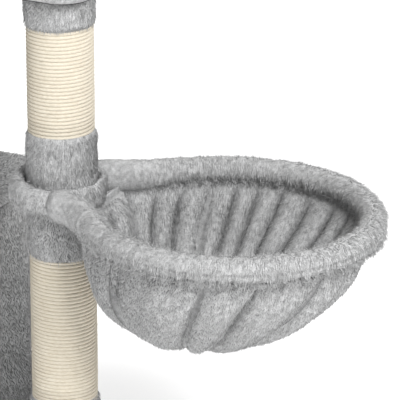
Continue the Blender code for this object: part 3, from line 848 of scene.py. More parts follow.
@dataclass
class Post(SubAssembly):
    """One length of scratching post: tube, caps, rope and two plush bands."""

    name: str = ""
    pitch: float = 0.0046       # height of one turn of rope
    rope: float = 0.0058        # across the rope
    steps: int = 120            # sections in one turn
    lay: int = 9                # sections in one turn of the rope's own twist
    tucked: float = 0.0035      # rope hidden under each band
    band_pile: Pile = Pile(0.0017, 0.0058, 0.0010, lean=0.56, mess=0.44, clump=0.0065, jointed=False)
    hair: Pile = Pile(0.0062, 0.0050, 0.00016, lean=0.80, mess=0.9, clump=0.004, bend=0.2, jointed=True)
    stray: Pile = Pile(0.0260, 0.0150, 0.00045, lean=0.62, mess=1.5, clump=0.004, bend=0.6)
    pile_room: float = 0.0035   # between a band's skin and its CAD outline
    tuck: float = 0.0022        # how far a band's ends are drawn in
    cloth: float = 0.0018       # thickness of a band's cloth
    seed: int = 11

    def build(self) -> None:
        """Makes the rope and both bands, and dresses the tube and its caps."""
        self.wind()
        for number, end in enumerate(("foot", "head")):
            self.wrap(end, self.seed + number * 5)
        self.dress(Slot.PAPER_TUBE, f"{self.name}_core_tube")
        self.dress(Slot.BOARD, f"{self.name}_foot_cap", f"{self.name}_head_cap")

    def strand_section(self) -> bpy.types.Object:
        """The rope's three-stranded section as a closed curve."""
        curve = bpy.data.curves.new("rope_section", "CURVE")
        spline = curve.splines.new("POLY")
        spline.points.add(self.lay - 1)
        for number, point in enumerate(spline.points):
            angle = math.tau * number / self.lay
            radius = self.rope / 2 * (0.86 + 0.14 * abs(math.cos(1.5 * angle)))
            point.co = (radius * math.cos(angle), radius * math.sin(angle), 0, 1)
        spline.use_cyclic_u = True
        made = bpy.data.objects.new("rope_section", curve)
        bpy.context.scene.collection.objects.link(made)
        return made

    def wind(self) -> None:
        """Winds the rope round the tube and lets some of its fibres loose."""
        node = f"{self.name}_sisal_wrap"
        low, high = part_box(node)
        axis = (low + high) / 2
        radius = (high.x - low.x) / 2 - self.rope / 2 + 0.0002
        start = low.z - self.tucked
        turns = (high.z + self.tucked - start) / self.pitch
        count = round(turns * self.steps)
        section = self.strand_section()
        curve = bpy.data.curves.new(f"{self.name}_rope", "CURVE")
        curve.dimensions = "3D"
        curve.twist_mode = "Z_UP"
        curve.bevel_mode = "OBJECT"
        curve.bevel_object = section
        curve.use_fill_caps = True
        spline = curve.splines.new("POLY")
        spline.points.add(count)
        for number, point in enumerate(spline.points):
            angle = math.tau * number / self.steps
            sway = noise.noise(Vector((angle * 0.35, self.seed, 0)))
            swell = noise.noise(Vector((angle * 1.7, self.seed, 9.0)))
            reach = radius + 0.00018 * swell
            height = start + angle / math.tau * self.pitch + 0.00035 * sway
            point.co = (axis.x + reach * math.cos(angle), axis.y + reach * math.sin(angle), height, 1)
            point.tilt = math.tau / self.lay * number
            point.radius = 1 + 0.05 * swell
        scratch = bpy.data.objects.new("rope", curve)
        bpy.context.scene.collection.objects.link(scratch)
        mesh = evaluated(scratch)
        discard(scratch)
        discard(section)
        bm = bmesh.new()
        bm.from_mesh(mesh)
        bmesh.ops.remove_doubles(bm, verts=bm.verts, dist=1e-7)
        bmesh.ops.recalc_face_normals(bm, faces=bm.faces)
        self.keep(to_object(bm, f"{self.name}_rope", SISAL.rope()), Slot.SISAL, node)
        self.loosen(Vector((axis.x, axis.y, 0)), (low.z, high.z), radius)

    def loosen(self, axis: Vector, z_span: Span, radius: float) -> None:
        """Stands loose fibres on the rope.

        Args:
            axis: The post's axis.
            z_span: The rope's lower and upper end.
            radius: Of the rope's own middle line.
        """
        low, high = inset(z_span, 0.003)
        profile = [Vector((radius + self.rope * 0.45, 0, low + (high - low) * n / 8)) for n in range(9)]
        sleeve = to_object(turned(profile, 32, axis), "sleeve")
        mesh = sleeve.data
        Brush(axis).apply(sleeve)
        away = read_vectors(mesh, "normal")
        around = np.cross((0, 0, 1), away)
        mesh.attributes["comb"].data.foreach_set("vector", around.astype(np.float32).ravel())
        self.keep(self.hair.grow(sleeve, f"{self.name}_fibres", SISAL.fibre(), self.seed + 40), Slot.SISAL)
        self.keep(self.stray.grow(sleeve, f"{self.name}_strays", SISAL.fibre(), self.seed + 60), Slot.SISAL)
        discard(sleeve)

    def wrap(self, end: str, seed: int) -> None:
        """Wraps one end of the post in plush.

        Args:
            end: The end's name, foot or head.
            seed: Picks its creases and its pile.
        """
        node = f"{self.name}_{end}_band"
        low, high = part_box(node)
        axis = (low + high) / 2
        outside = (high.x - low.x) / 2 - self.pile_room
        height = high.z - low.z
        rows = max(4, round(height / 0.005))
        profile = []
        for row in range(rows + 1):
            share = row / rows
            to_end = min(share, 1 - share) / 0.10
            tuck = self.tuck * (1 - min(1, to_end) ** 0.5)
            profile.append(Vector((outside - tuck, 0, low.z + height * share - axis.z)))
        bm = turned(profile, 48, axis)
        ripple(bm, 0.0012, 0.022, seed)
        band = to_object(bm, f"{self.name}_{end}_wrap", PLUSH.back())
        Brush(axis, spread=0.0).apply(band)
        pile = self.furnish(band, PLUSH, self.band_pile, seed, node, self.cloth)
        around = math.tau * outside
        declare_sheet(band, around, height, Held.STRETCHED)


@dataclass
class Basket(SubAssembly):
    """The swivelling basket: collar, rim sleeve, bag and lining on their wire hoop."""

    body: Body = Body.BASKET
    hoop_centre: float = 0.224
    hoop_x: float = 0.166
    hoop_y: float = 0.159
    loop: float = 0.054
    neck_angle: float = math.radians(7.8)
    rim_radius: float = 0.0170
    neck_half_width: float = 0.0175
    neck_half_height: float = 0.0225
    bag_top: float = -0.0185
    bag_depth: float = 0.1390
    bag_left: float = 0.163
    bag_right: float = 0.161
    bag_side: float = 0.154
    bag_centre_top: float = 0.222
    bag_centre_bottom: float = 0.183
    bag_sideways: float = -0.0115
    fullness: float = 2.05
    lip: float = 0.0120         # cloth above the bag's top, sewn into the rim's sleeve
    mouth_start: float = 0.0475  # X from the post's axis of the mouth's end between the necks
    spout_depth: float = 0.5    # share of the depth down to which the bag is drawn towards the necks
    lining_gap: float = 0.0060
    pleats: int = 29
    rim_room: float = 0.0026    # between a skin and its CAD outline
    bag_room: float = 0.0016
    collar_inside: float = 0.0453  # inner radius of the collar's skin
    cloth: float = 0.0016       # thickness of the bag's and the lining's cloth
    blank: float = 0.44         # side of the square that each of them is cut as
    rim_pile: Pile = Pile(0.00165, 0.0074, 0.0010, lean=0.56, mess=0.46, clump=0.0065, jointed=False)
    collar_pile: Pile = Pile(0.0017, 0.0056, 0.0010, lean=0.56, mess=0.42, clump=0.0065, jointed=False)
    bag_pile: Pile = Pile(0.0019, 0.0050, 0.0011, lean=0.52, mess=0.46, clump=0.0060, jointed=False)
    lining_pile: Pile = Pile(0.0019, 0.0046, 0.0011, lean=0.50, mess=0.46, clump=0.0060, jointed=False)
    pivot: Vector = field(default_factory=lambda: middle_of("basket_pivot_plate"))

    def build(self) -> None:
        """Makes every soft piece of the basket and dresses its steel."""
        self.collar()
        self.rim()
        self.bag()
        self.lining()
        self.dress(Slot.ZINC, "basket_pivot_plate")
        self.dress(Slot.WIRE, "basket_hoop_wire")

    def hoop_radius(self, turn: float) -> float:
        """Distance of the wire from the hoop's centre; turn is 0 towards the post."""
        across = math.hypot(self.hoop_y * math.cos(turn), self.hoop_x * math.sin(turn))
        plain = self.hoop_x * self.hoop_y / across
        contact = math.asin(self.loop / self.hoop_centre)
        reach = self.hoop_centre * math.cos(contact)
        return plain + (reach - plain) * math.exp(-(turn - contact) / self.neck_angle)

    def wire_point(self, share: float) -> Vector:
        """A point on the wire's middle line; share runs from -1 at one side of the post to 1 at the other."""
        contact = math.asin(self.loop / self.hoop_centre)
        turn = math.pi - (math.pi - contact) * abs(share)
        radius = self.hoop_radius(turn)
        side = math.copysign(1.0, share)
        return Vector((self.hoop_centre - radius * math.cos(turn), side * radius * math.sin(turn), 0))

    def rim_share(self, x: float) -> float:
        """How far a point is past the neck: 0 at the collar, 1 on the wide hoop."""
        share = min(max((x - 0.050) / 0.080, 0), 1)
        return share * share * (3 - 2 * share)

    def rim_place(self, share: float, angle: float) -> Vector:
        """A point of the rim's skin.

        Args:
            share: How far along the sleeve, 0 to 1.
            angle: Round its section, 0 outwards and a quarter turn up.

        Returns:
            The point.
        """
        last = 0.995
        along = (share * 2 - 1) * last
        point = self.wire_point(along)
        ahead, behind = self.wire_point(min(along + 0.004, last)), self.wire_point(max(along - 0.004, -last))
        step = (ahead - behind).normalized()
        outward = Vector((step.y, -step.x, 0))
        loose = self.rim_share(point.x)
        wide = self.neck_half_width + (self.rim_radius - self.neck_half_width) * loose
        tall = self.neck_half_height + (self.rim_radius - self.neck_half_height) * loose
        metres = along * 0.56
        to_end = 0.56 * (last - abs(along))
        seam = math.exp(-(((to_end - 0.0035) / 0.0012) ** 2)) + math.exp(-((to_end / 0.0015) ** 2))
        gather = math.sin(math.tau * metres / 0.0175 + 2.2 * math.sin(math.tau * metres / 0.13))
        gather = 0.6 * gather + 0.5 * math.sin(math.tau * metres / 0.029 + 1.3)
        under = math.exp(-((math.degrees(angle) + 48) / 34) ** 2)
        crease = math.exp(-((math.degrees(angle) + 12) / 9) ** 2)
        swell = 0.0005 * gather - 0.0016 * seam - self.rim_room
        swell += loose * (under * (0.0020 + 0.0012 * gather) - crease * 0.0016)
        swell += 0.0008 * noise.noise(point * 28 + Vector((0, 0, angle)))
        across = outward * (wide + swell) * math.cos(angle)
        return self.pivot + point + across + Vector((0, 0, (tall + swell) * math.sin(angle)))

    def rim(self) -> None:
        """The padded plush sleeve over the hoop and its neck."""
        skin = to_object(tube(420, 32, self.rim_place, closed=False), "basket_rim", LIT_RIM_PLUSH.back())
        centre = self.pivot + Vector((self.hoop_centre, 0, 0))
        pivot_x = self.pivot.x

        def length(places: np.ndarray, normals: np.ndarray) -> np.ndarray:
            """Shorter on the neck, longest on the lower outside."""
            neck = np.clip((places[:, 0] - pivot_x - 0.05) / 0.08, 0, 1)
            low = np.clip(-normals[:, 2], 0, 1)
            return 0.52 + 0.43 * neck + 0.45 * neck * low

        Brush(centre, spread=0.9, down=1.0, inwards=True).apply(skin, grow=length)
        self.furnish(skin, LIT_RIM_PLUSH, self.rim_pile, 101, "basket_rim_sleeve")

    def collar(self) -> None:
        """The plush ring tied round the post over the wire's loop."""
        low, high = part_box("basket_collar_sleeve")
        inside, outside = self.collar_inside, (high.y - low.y) / 2 - self.rim_room
        half = (high.z - low.z) / 2 - 0.001
        between, flap = math.radians(35), math.radians(-82)

        def place(share: float, angle: float) -> Vector:
            """A point of the collar's skin, which is thin between the necks and has one loose corner."""
            turn = math.tau * share
            from_basket = min(turn, math.tau - turn)
            thickness = 0.40 + 0.60 * min(max((from_basket - between) / 0.52, 0), 1)
            deep = 0.0095 + 0.0006 * math.sin(turn * 13 + 1.1)
            radius = max(outside - 0.0085 + deep * math.cos(angle), inside)
            radius = inside + (radius - inside) * thickness
            tall = half * (0.90 + 0.05 * math.sin(turn * 5) + 0.04 * math.sin(turn * 11 + 0.7))
            height = tall * math.copysign(abs(math.sin(angle)) ** 0.8, math.sin(angle))
            apart = (turn - flap + math.pi) % math.tau - math.pi
            height -= 0.0030 * math.exp(-((apart / 0.12) ** 2)) * max(-math.sin(angle), 0)
            return self.pivot + Vector((radius * math.cos(turn), radius * math.sin(turn), height))

        skin = to_object(tube(120, 20, place, closed=True), "basket_collar", LIT_RIM_PLUSH.back())
        Brush(self.pivot, spread=0.8, down=0.9).apply(skin)
        self.furnish(skin, LIT_RIM_PLUSH, self.collar_pile, 131, "basket_collar_sleeve")

    def bowl(self, inwards: float, fold: Callable[[float, float], float]) -> bmesh.types.BMesh:
        """Half a sphere pulled into the bag's shape.

        Args:
            inwards: Distance inside the bag's outline.
            fold: Gives how far a point moves outwards, from its angle and its share of the depth.

        Returns:
            The open bowl.
        """
        bm = bmesh.new()
        bmesh.ops.create_uvsphere(bm, u_segments=224, v_segments=96, radius=1)
        geometry = bm.verts[:] + bm.edges[:] + bm.faces[:]
        bmesh.ops.bisect_plane(
            bm, geom=geometry, dist=1e-5, plane_co=(0, 0, 0), plane_no=(0, 0, 1), clear_outer=True
        )
        for v in bm.verts:
            depth = min(max(-v.co.z, 0), 1) ** (2 / self.fullness)
            angle = math.atan2(v.co.y, v.co.x)
            reach = (self.bag_right if v.co.x > 0 else self.bag_left) - inwards
            centre = self.bag_centre_top + (self.bag_centre_bottom - self.bag_centre_top) * depth
            flat = Vector((v.co.x * reach, v.co.y * (self.bag_side - inwards), 0))
            out = Vector((v.co.x, v.co.y, v.co.z * 0.9)).normalized() * fold(angle, depth)
            level = self.bag_top - (self.bag_depth - inwards) * depth
            v.co = self.pivot + Vector((centre, self.bag_sideways * depth, level)) + flat + out
            pull = max(1 - depth / self.spout_depth, 0) ** 2
            v.co = v.co.lerp(self.mouth_point(v.co, inwards), pull)
        for _ in range(4):
            mouth = [e for e in bm.edges if e.is_boundary]
            raised = bmesh.ops.extrude_edge_only(bm, edges=mouth)["geom"]
            ring = [item for item in raised if isinstance(item, bmesh.types.BMVert)]
            for v in ring:
                past_neck = min(max((v.co.x - self.pivot.x - self.mouth_start) / 0.045, 0), 1)
                v.co.z += self.lip / 4 * (0.80 + 0.20 * past_neck)
        face_out(bm)
        return bm

    def mouth_point(self, place: Vector, inwards: float) -> Vector:
        """The place at a point's own level, straight below where the cloth meets the rim's sleeve."""
        own = place - self.pivot
        centre = Vector((self.hoop_centre, 0, own.z))
        away = own - centre
        contact = math.asin(self.loop / self.hoop_centre)
        turn = max(math.atan2(abs(away.y), -away.x), contact)
        reach = self.hoop_radius(turn) - 0.006 - inwards * 0.6
        goal = centre + away.normalized() * max(reach, away.length)
        if goal.x < self.mouth_start:
            room = self.hoop_centre - self.mouth_start
            goal = centre + (goal - centre) * room / (self.hoop_centre - goal.x)
        return self.pivot + goal

    def bag_fold(self, angle: float, depth: float) -> float:
        """Gathers under the hem and long soft folds that run to the bottom."""
        hem = math.exp(-depth / 0.10)
        gather = math.sin(44 * angle + 2.5 * math.sin(5 * angle)) + 0.6 * math.sin(71 * angle + 1.0)
        wander = 0.9 * math.sin(2 * angle + 0.6) + 0.5 * math.sin(5 * angle) + 0.7 * depth
        valley = abs(math.sin(6.5 * angle + wander)) ** 0.7
        strength = 0.0205 + 0.0060 * math.sin(2 * angle + 2.4)
        soft = math.sin(19 * angle + 1.7 * math.sin(3 * angle) + 1.5 * depth)
        middle = math.sin(math.pi * min(0.14 + depth * 0.84, 1)) ** 0.5
        return 0.0012 * hem * gather + middle * (strength * (valley - 0.70) + 0.0012 * soft)

    def lining_fold(self, angle: float, depth: float) -> float:
        """Puffy pleats with sharp creases between them, which fade towards the floor."""
        pleat = self.pleats / 2 * angle + 0.5 * math.sin(3 * angle + 0.4) + 0.35 * math.sin(7 * angle)
        puff = abs(math.sin(pleat)) ** 0.75
        fade = max(1 - depth, 0) ** 0.8
        return 0.0020 - 0.0210 * puff * fade + 0.0010 * math.sin(5 * angle + 9 * depth)

    def bag(self) -> None:
        """The gathered outer cloth."""
        skin = to_object(self.bowl(self.bag_room, self.bag_fold), "basket_bag", PLUSH.back())
        start = self.pivot.x + self.mouth_start

        def length(places: np.ndarray, normals: np.ndarray) -> np.ndarray:
            """Trimmed short next to the post."""
            return np.clip((places[:, 0] - start) / 0.020, 0.30, 1.0)

        Brush(self.pivot + Vector((self.bag_centre_bottom, 0, 0)), spread=-0.1).apply(skin, grow=length)
        pile = self.furnish(skin, PLUSH, self.bag_pile, 151, "basket_bag_outer", self.cloth)
        declare_sheet(skin, self.blank, self.blank, Held.GATHERED)

    def lining(self) -> None:
        """The pleated inner cloth."""
        bm = self.bowl(self.lining_gap, self.lining_fold)
        bmesh.ops.reverse_faces(bm, faces=bm.faces)
        skin = to_object(bm, "basket_lining", SHADED_INNER_PLUSH.back())
        Brush(self.pivot + Vector((self.bag_centre_bottom, 0, 0)), spread=-0.3).apply(skin)
        pile = self.furnish(skin, SHADED_INNER_PLUSH, self.lining_pile, 171, "basket_bag_lining", self.cloth)
        declare_sheet(skin, self.blank, self.blank, Held.GATHERED)


@dataclass
class Covered(SubAssembly):
    """A board with plush drawn over its top and its sides."""

    name: str = ""
    corner: float = 0.04
    edge: float = 0.009
    hem: float = 0.018          # cloth folded under the edge, where it shows
    pile: Pile = Pile(0.0024, 0.0060, 0.0013, lean=0.54, mess=0.44, clump=0.0075, jointed=False)
    pile_room: float = 0.0028
    wave: float = 0.0012        # how far the cover is from flat
    cloth: float = 0.0020       # its thickness
    seed: int = 1
    board: str = ""

    def build(self) -> None:
        """Makes the cover and its pile."""
        node = self.board.replace("board", "plush_cover")
        x_span, y_span, z_span = spans(node)
        room = self.pile_room
        z_skin = (z_span[0], z_span[1] - room)
        bm = plate(inset(x_span, room), inset(y_span, room), z_skin, self.corner - room, self.edge)
        cut_grid(bm, 0.016)
        drop_faces(bm, lambda f: self.is_underneath(f, x_span, y_span, z_span[0]))
        ripple(bm, self.wave, 0.045, self.seed)
        face_out(bm)
        skin = to_object(bm, self.name, PLUSH.back())
        centre = Vector((sum(x_span) / 2, sum(y_span) / 2, 0))

        def cover(places: np.ndarray, normals: np.ndarray) -> np.ndarray:
            """No pile on the hem beneath, which lies on or near something."""
            return np.where(normals[:, 2] < -0.6, 0.0, 1.0)

        def length(places: np.ndarray, normals: np.ndarray) -> np.ndarray:
            """Trimmed short at the lower edge."""
            return np.clip((places[:, 2] - z_span[0]) / 0.012, 0.2, 1.0)

        Brush(centre, spread=0.8).apply(skin, grow=length, cover=cover)
        pile = self.furnish(skin, PLUSH, self.pile, self.seed + 200, node, self.cloth)
        drop = 2 * (z_span[1] - z_span[0] + self.hem)
        cut_x, cut_y = x_span[1] - x_span[0] + drop, y_span[1] - y_span[0] + drop
        declare_sheet(skin, cut_x, cut_y, Held.STRETCHED)

    def is_underneath(self, face: bmesh.types.BMFace, x_span: Span, y_span: Span, low: float) -> bool:
        """Whether a face belongs to the underside, inside the folded hem."""
        middle = face.calc_center_median()
        x_hem, y_hem = inset(x_span, self.hem), inset(y_span, self.hem)
        inside = x_hem[0] < middle.x < x_hem[1] and y_hem[0] < middle.y < y_hem[1]
        return middle.z < low + 0.0005 and inside


@dataclass
class Condo(SubAssembly):
    """The box: covered walls with a round doorway, its trim and its mat."""

    corner: float = 0.014
    pile: Pile = Pile(0.0024, 0.0058, 0.0013, lean=0.54, mess=0.44, clump=0.0075, jointed=False)
    pile_room: float = 0.0026
    overlap: float = 0.004      # how far the walls' plush reaches up over the roof's rounded edge
    cloth: float = 0.0022       # thickness of the walls' cloth
    door_pile: Pile = Pile(0.0026, 0.0040, 0.0011, lean=0.55, mess=0.4, jointed=False)
    mat_pile: Pile = Pile(0.0036, 0.0050, 0.0016, jointed=False)

    def build(self) -> None:
        """Makes the soft pieces and dresses the walls and screws."""
        self.walls()
        self.doorway()
        self.mat()
        self.dress(Slot.BOARD, *(f"condo_{side}_wall" for side in ("front", "back", "left", "right")))
        self.dress(Slot.BOARD, "condo_roof_board")
        self.dress(Slot.ZINC, *(f"condo_screw_{number}" for number in (1, 2, 3, 4)))

    def walls(self) -> None:
        """The plush round the four walls."""
        x_span, y_span, z_span = spans("condo_plush_cover")
        z_span = (z_span[0], z_span[1] + self.overlap)
        room = self.pile_room
        x_skin, y_skin = inset(x_span, room), inset(y_span, room)
        bm = plate(x_skin, y_skin, z_span, self.corner - room)
        box = to_object(bm, "box")
        ring = middle_of("condo_door_ring")
        x_ring = spans("condo_door_ring")[0]
        hole = bmesh.new()
        radius = (x_ring[1] - x_ring[0]) / 2
        bmesh.ops.create_cone(hole, cap_ends=True, segments=48, radius1=radius, radius2=radius, depth=0.10)
        place = Matrix.Translation((ring.x, y_skin[0], ring.z)) @ Matrix.Rotation(math.pi / 2, 4, "X")
        bmesh.ops.transform(hole, matrix=place, verts=hole.verts)
        cutter = to_object(hole, "door_cutter")
        cut = box.modifiers.new("door", "BOOLEAN")
        cut.solver = "EXACT"
        cut.object = cutter
        bm = bmesh.new()
        bm.from_mesh(evaluated(box))
        discard(box)
        discard(cutter)
        drop_faces(bm, lambda f: self.is_inside(f, x_skin, y_skin, z_span))
        cut_grid(bm, 0.018)
        ripple(bm, 0.0014, 0.050, 5)
        face_out(bm)
        skin = to_object(bm, "condo_cover", PLUSH.back())
        centre = Vector((sum(x_span) / 2, sum(y_span) / 2, 0))
        Brush(centre, spread=0.0).apply(skin)
        pile = self.furnish(skin, PLUSH, self.pile, 221, "condo_plush_cover", self.cloth)
        around = 2 * (x_span[1] - x_span[0] + y_span[1] - y_span[0])
        height = z_span[1] - z_span[0]
        declare_sheet(skin, around, height, Held.STRETCHED)

    def is_inside(self, face: bmesh.types.BMFace, x_span: Span, y_span: Span, z_span: Span) -> bool:
        """Whether a face is the box's top or bottom, or the doorway's tunnel."""
        middle = face.calc_center_median()
        level = min(abs(middle.z - z_span[0]), abs(middle.z - z_span[1])) < 1e-4
        deep = min(middle.x - x_span[0], x_span[1] - middle.x, middle.y - y_span[0], y_span[1] - middle.y)
        return level or deep > 0.012

    def doorway(self) -> None:
        """The plush ring round the doorway's edge."""
        x_span, y_span, _ = spans("condo_door_ring")
        centre = middle_of("condo_door_ring")
        radius = (x_span[1] - x_span[0]) / 2
        thick, deep = 0.0062, (y_span[1] - y_span[0]) / 2

        def place(share: float, angle: float) -> Vector:
            """A point of the ring's skin."""
            turn = math.tau * share
            reach = radius - thick / 2 + (thick / 2 - 0.0006) * math.cos(angle)
            return Vector((
                centre.x + reach * math.cos(turn),
                centre.y - deep * 0.95 * math.sin(angle),
                centre.z + reach * math.sin(turn),
            ))

        skin = to_object(tube(96, 14, place, closed=True), "condo_door_trim", PLUSH.back())
        Brush(centre, spread=0.2, down=0.4).apply(skin)
        self.furnish(skin, PLUSH, self.door_pile, 241, "condo_door_ring")

    def mat(self) -> None:
        """The mat on the condo's floor."""
        x_span, y_span, z_span = spans("condo_mat")
        skin = pad("condo_floor_mat", x_span, y_span, z_span, 0.022, SHADED_INNER_PLUSH.back())
        Brush(middle_of("condo_mat"), spread=0.8).apply(skin, cover=upper_side)
        self.furnish(skin, SHADED_INNER_PLUSH, self.mat_pile, 251, "condo_mat")


def upper_side(places: np.ndarray, normals: np.ndarray) -> np.ndarray:
    """Pile everywhere but beneath."""
    return np.where(normals[:, 2] < -0.4, 0.0, 1.0)


def pad(
    name: str, x_span: Span, y_span: Span, z_span: Span, corner: float, material: bpy.types.Material
) -> bpy.types.Object:
    """A stuffed cushion, blown up by a cloth simulation.

    Args:
        name: The cushion's name.
        x_span: The ends that it may reach along X.
        y_span: The ends that it may reach along Y.
        z_span: Its underside and the top of its crown.
        corner: Radius of its corners, seen from above.
        material: Its skin's material.

    Returns:
        The cushion, flat beneath and crowned above.
    """
    height = z_span[1] - z_span[0]
    slack = 0.006
    z_start = (z_span[0], z_span[0] + height * 0.62)
    bm = plate(inset(x_span, slack), inset(y_span, slack), z_start, corner, height * 0.22)
    start = to_object(bm, "pad_start")
    grid = start.modifiers.new("grid", "REMESH")
    grid.mode = "VOXEL"
    grid.voxel_size = 0.006
    made = from_mesh(evaluated(start), name, material)
    discard(start)
    inflate(made, frames=20, pressure=4.0, most=0.012)
    finish = made.modifiers.new("finish", "SUBSURF")
    finish.levels = 1
    finish.render_levels = 1
    mesh = evaluated(made)
    discard(made)
    places = read_vectors(mesh, "co")
    low, high = places.min(0), places.max(0)
    wanted_low = np.array((x_span[0], y_span[0], z_span[0])) + np.array((0.002, 0.002, 0.0002))
    wanted_high = np.array((x_span[1], y_span[1], z_span[1])) - np.array((0.002, 0.002, 0.003))
    places = wanted_low + (places - low) / (high - low) * (wanted_high - wanted_low)
    flat = z_span[0] + 0.0002
    places[:, 2] = np.where(places[:, 2] < flat + 0.003, flat + (places[:, 2] - flat) * 0.3, places[:, 2])
    mesh.vertices.foreach_set("co", places.astype(np.float32).ravel())
    mesh.update()
    mesh.shade_smooth()
    return from_mesh(mesh, name, material)


def inflate(pad_object: bpy.types.Object, frames: int, pressure: float, most: float) -> None:
    """Blows a closed mesh up with a cloth simulation and keeps the result.

    Args:
        pad_object: The mesh, which is changed.
        frames: Length of the simulation.
        pressure: The air's pressure.
        most: The furthest that a point may move.
    """
    before = read_vectors(pad_object.data, "co")
    cloth = pad_object.modifiers.new("cloth", "CLOTH")
    cloth.settings.effector_weights.gravity = 0.0
    cloth.settings.use_pressure = True
    cloth.settings.uniform_pressure_force = pressure
    cloth.settings.quality = 4
    cloth.point_cache.frame_start = 1
    cloth.point_cache.frame_end = frames
    scene = bpy.context.scene
    for number in range(1, frames + 1):
        scene.frame_set(number)
    mesh = evaluated(pad_object)
    after = read_vectors(mesh, "co")
    move = after - before
    length = np.linalg.norm(move, axis=1, keepdims=True)
    after = before + move * np.minimum(1, most / np.maximum(length, 1e-9))
    pad_object.modifiers.remove(cloth)
    bpy.data.meshes.remove(mesh)
    pad_object.data.vertices.foreach_set("co", after.astype(np.float32).ravel())
    pad_object.data.update()
    scene.frame_set(1)


@dataclass
class Bed(SubAssembly):
    """The lookout bed: its bolster and its cushion."""

    corner: float = 0.095
    pile: Pile = Pile(0.0023, 0.0060, 0.0013, lean=0.54, mess=0.44, clump=0.0075, jointed=False)
    cushion_pile: Pile = Pile(0.0030, 0.0060, 0.0015, jointed=False)
    pile_room: float = 0.0028

    def build(self) -> None:
        """Makes both padded pieces and dresses the board."""
        self.bolster()
        self.cushion()
        self.dress(Slot.BOARD, "bed_board")

    def bolster(self) -> None:
        """The stuffed roll round the bed."""
        x_span, y_span, z_span = spans("bed_bolster")
        half_width, half_height = 0.031, (z_span[1] - z_span[0]) / 2
        x_line, y_line = inset(x_span, half_width), inset(y_span, half_width)
        bend = self.corner - half_width
        level = (z_span[0] + z_span[1]) / 2
        room = self.pile_room
        runs = (x_line[1] - x_line[0] - 2 * bend, y_line[1] - y_line[0] - 2 * bend)
        quarter = bend * math.pi / 2
        total = 2 * (runs[0] + runs[1]) + 4 * quarter

        def line(metres: float) -> tuple[Vector, Vector]:
            """A point of the roll's middle line and the way out from it."""
            corners = (
                (x_line[1] - bend, y_line[0] + bend, -math.pi / 2, runs[0]),
                (x_line[1] - bend, y_line[1] - bend, 0.0, runs[1]),
                (x_line[0] + bend, y_line[1] - bend, math.pi / 2, runs[0]),
                (x_line[0] + bend, y_line[0] + bend, math.pi, runs[1]),
            )
            for x, y, start, run in corners:
                out = Vector((math.cos(start), math.sin(start), 0))
                if metres < run:
                    back = Vector((-math.sin(start), math.cos(start), 0)) * (metres - run)
                    return Vector((x, y, level)) + out * bend + back, out
                metres -= run
                if metres < quarter:
                    angle = start + metres / bend
                    out = Vector((math.cos(angle), math.sin(angle), 0))
                    return Vector((x, y, level)) + out * bend, out
                metres -= quarter
            return line(metres)

        def place(share: float, angle: float) -> Vector:
            """A point of the bolster's skin."""
            metres = share * total
            point, out = line(metres)
            turn = math.tau * share
            pucker = 1 + 0.030 * math.sin(9 * turn + 0.4) + 0.018 * math.sin(31 * turn)
            wide = (half_width - room) * pucker * (abs(math.cos(angle)) ** 0.85)
            tall = (half_height - room) * pucker * (abs(math.sin(angle)) ** 0.85)
            wide = math.copysign(min(wide, half_width - 0.001), math.cos(angle))
            tall = math.copysign(min(tall, half_height - 0.0012), math.sin(angle))
            return point + out * wide + Vector((0, 0, tall))

        skin = to_object(tube(260, 28, place, closed=True), "bed_rail", PLUSH.back())
        centre = middle_of("bed_bolster")
        Brush(centre, spread=0.9, inwards=True).apply(skin)
        self.furnish(skin, PLUSH, self.pile, 261, "bed_bolster")

    def cushion(self) -> None:
        """The loose cushion inside the bolster."""
        x_span, y_span, z_span = spans("bed_cushion")
        skin = pad("bed_pillow", x_span, y_span, z_span, 0.040, SHADED_INNER_PLUSH.back())
        Brush(middle_of("bed_cushion"), spread=0.8).apply(skin, cover=upper_side)
        self.furnish(skin, SHADED_INNER_PLUSH, self.cushion_pile, 271, "bed_cushion")


@dataclass
class Hardware(SubAssembly):
    """The frame's own boards, liners and bolts, which keep their shapes."""

    boards: tuple[str, ...] = ("base_board", "platform_board")
    liners: tuple[str, ...] = ("base_liner", "platform_liner")
    bolts: tuple[str, ...] = (
        "front_post_base_bolt",
        "front_post_stud",
        "front_post_platform_bolt",
        "roof_post_condo_bolt",
        "roof_post_platform_bolt",
        "bed_post_platform_bolt",
        "bed_post_bed_bolt",
    )

    def build(self) -> None:
        """Dresses them."""
        self.dress(Slot.BOARD, *self.boards)
        self.dress(Slot.LINER, *self.liners)
        self.dress(Slot.ZINC, *self.bolts)


# Studio


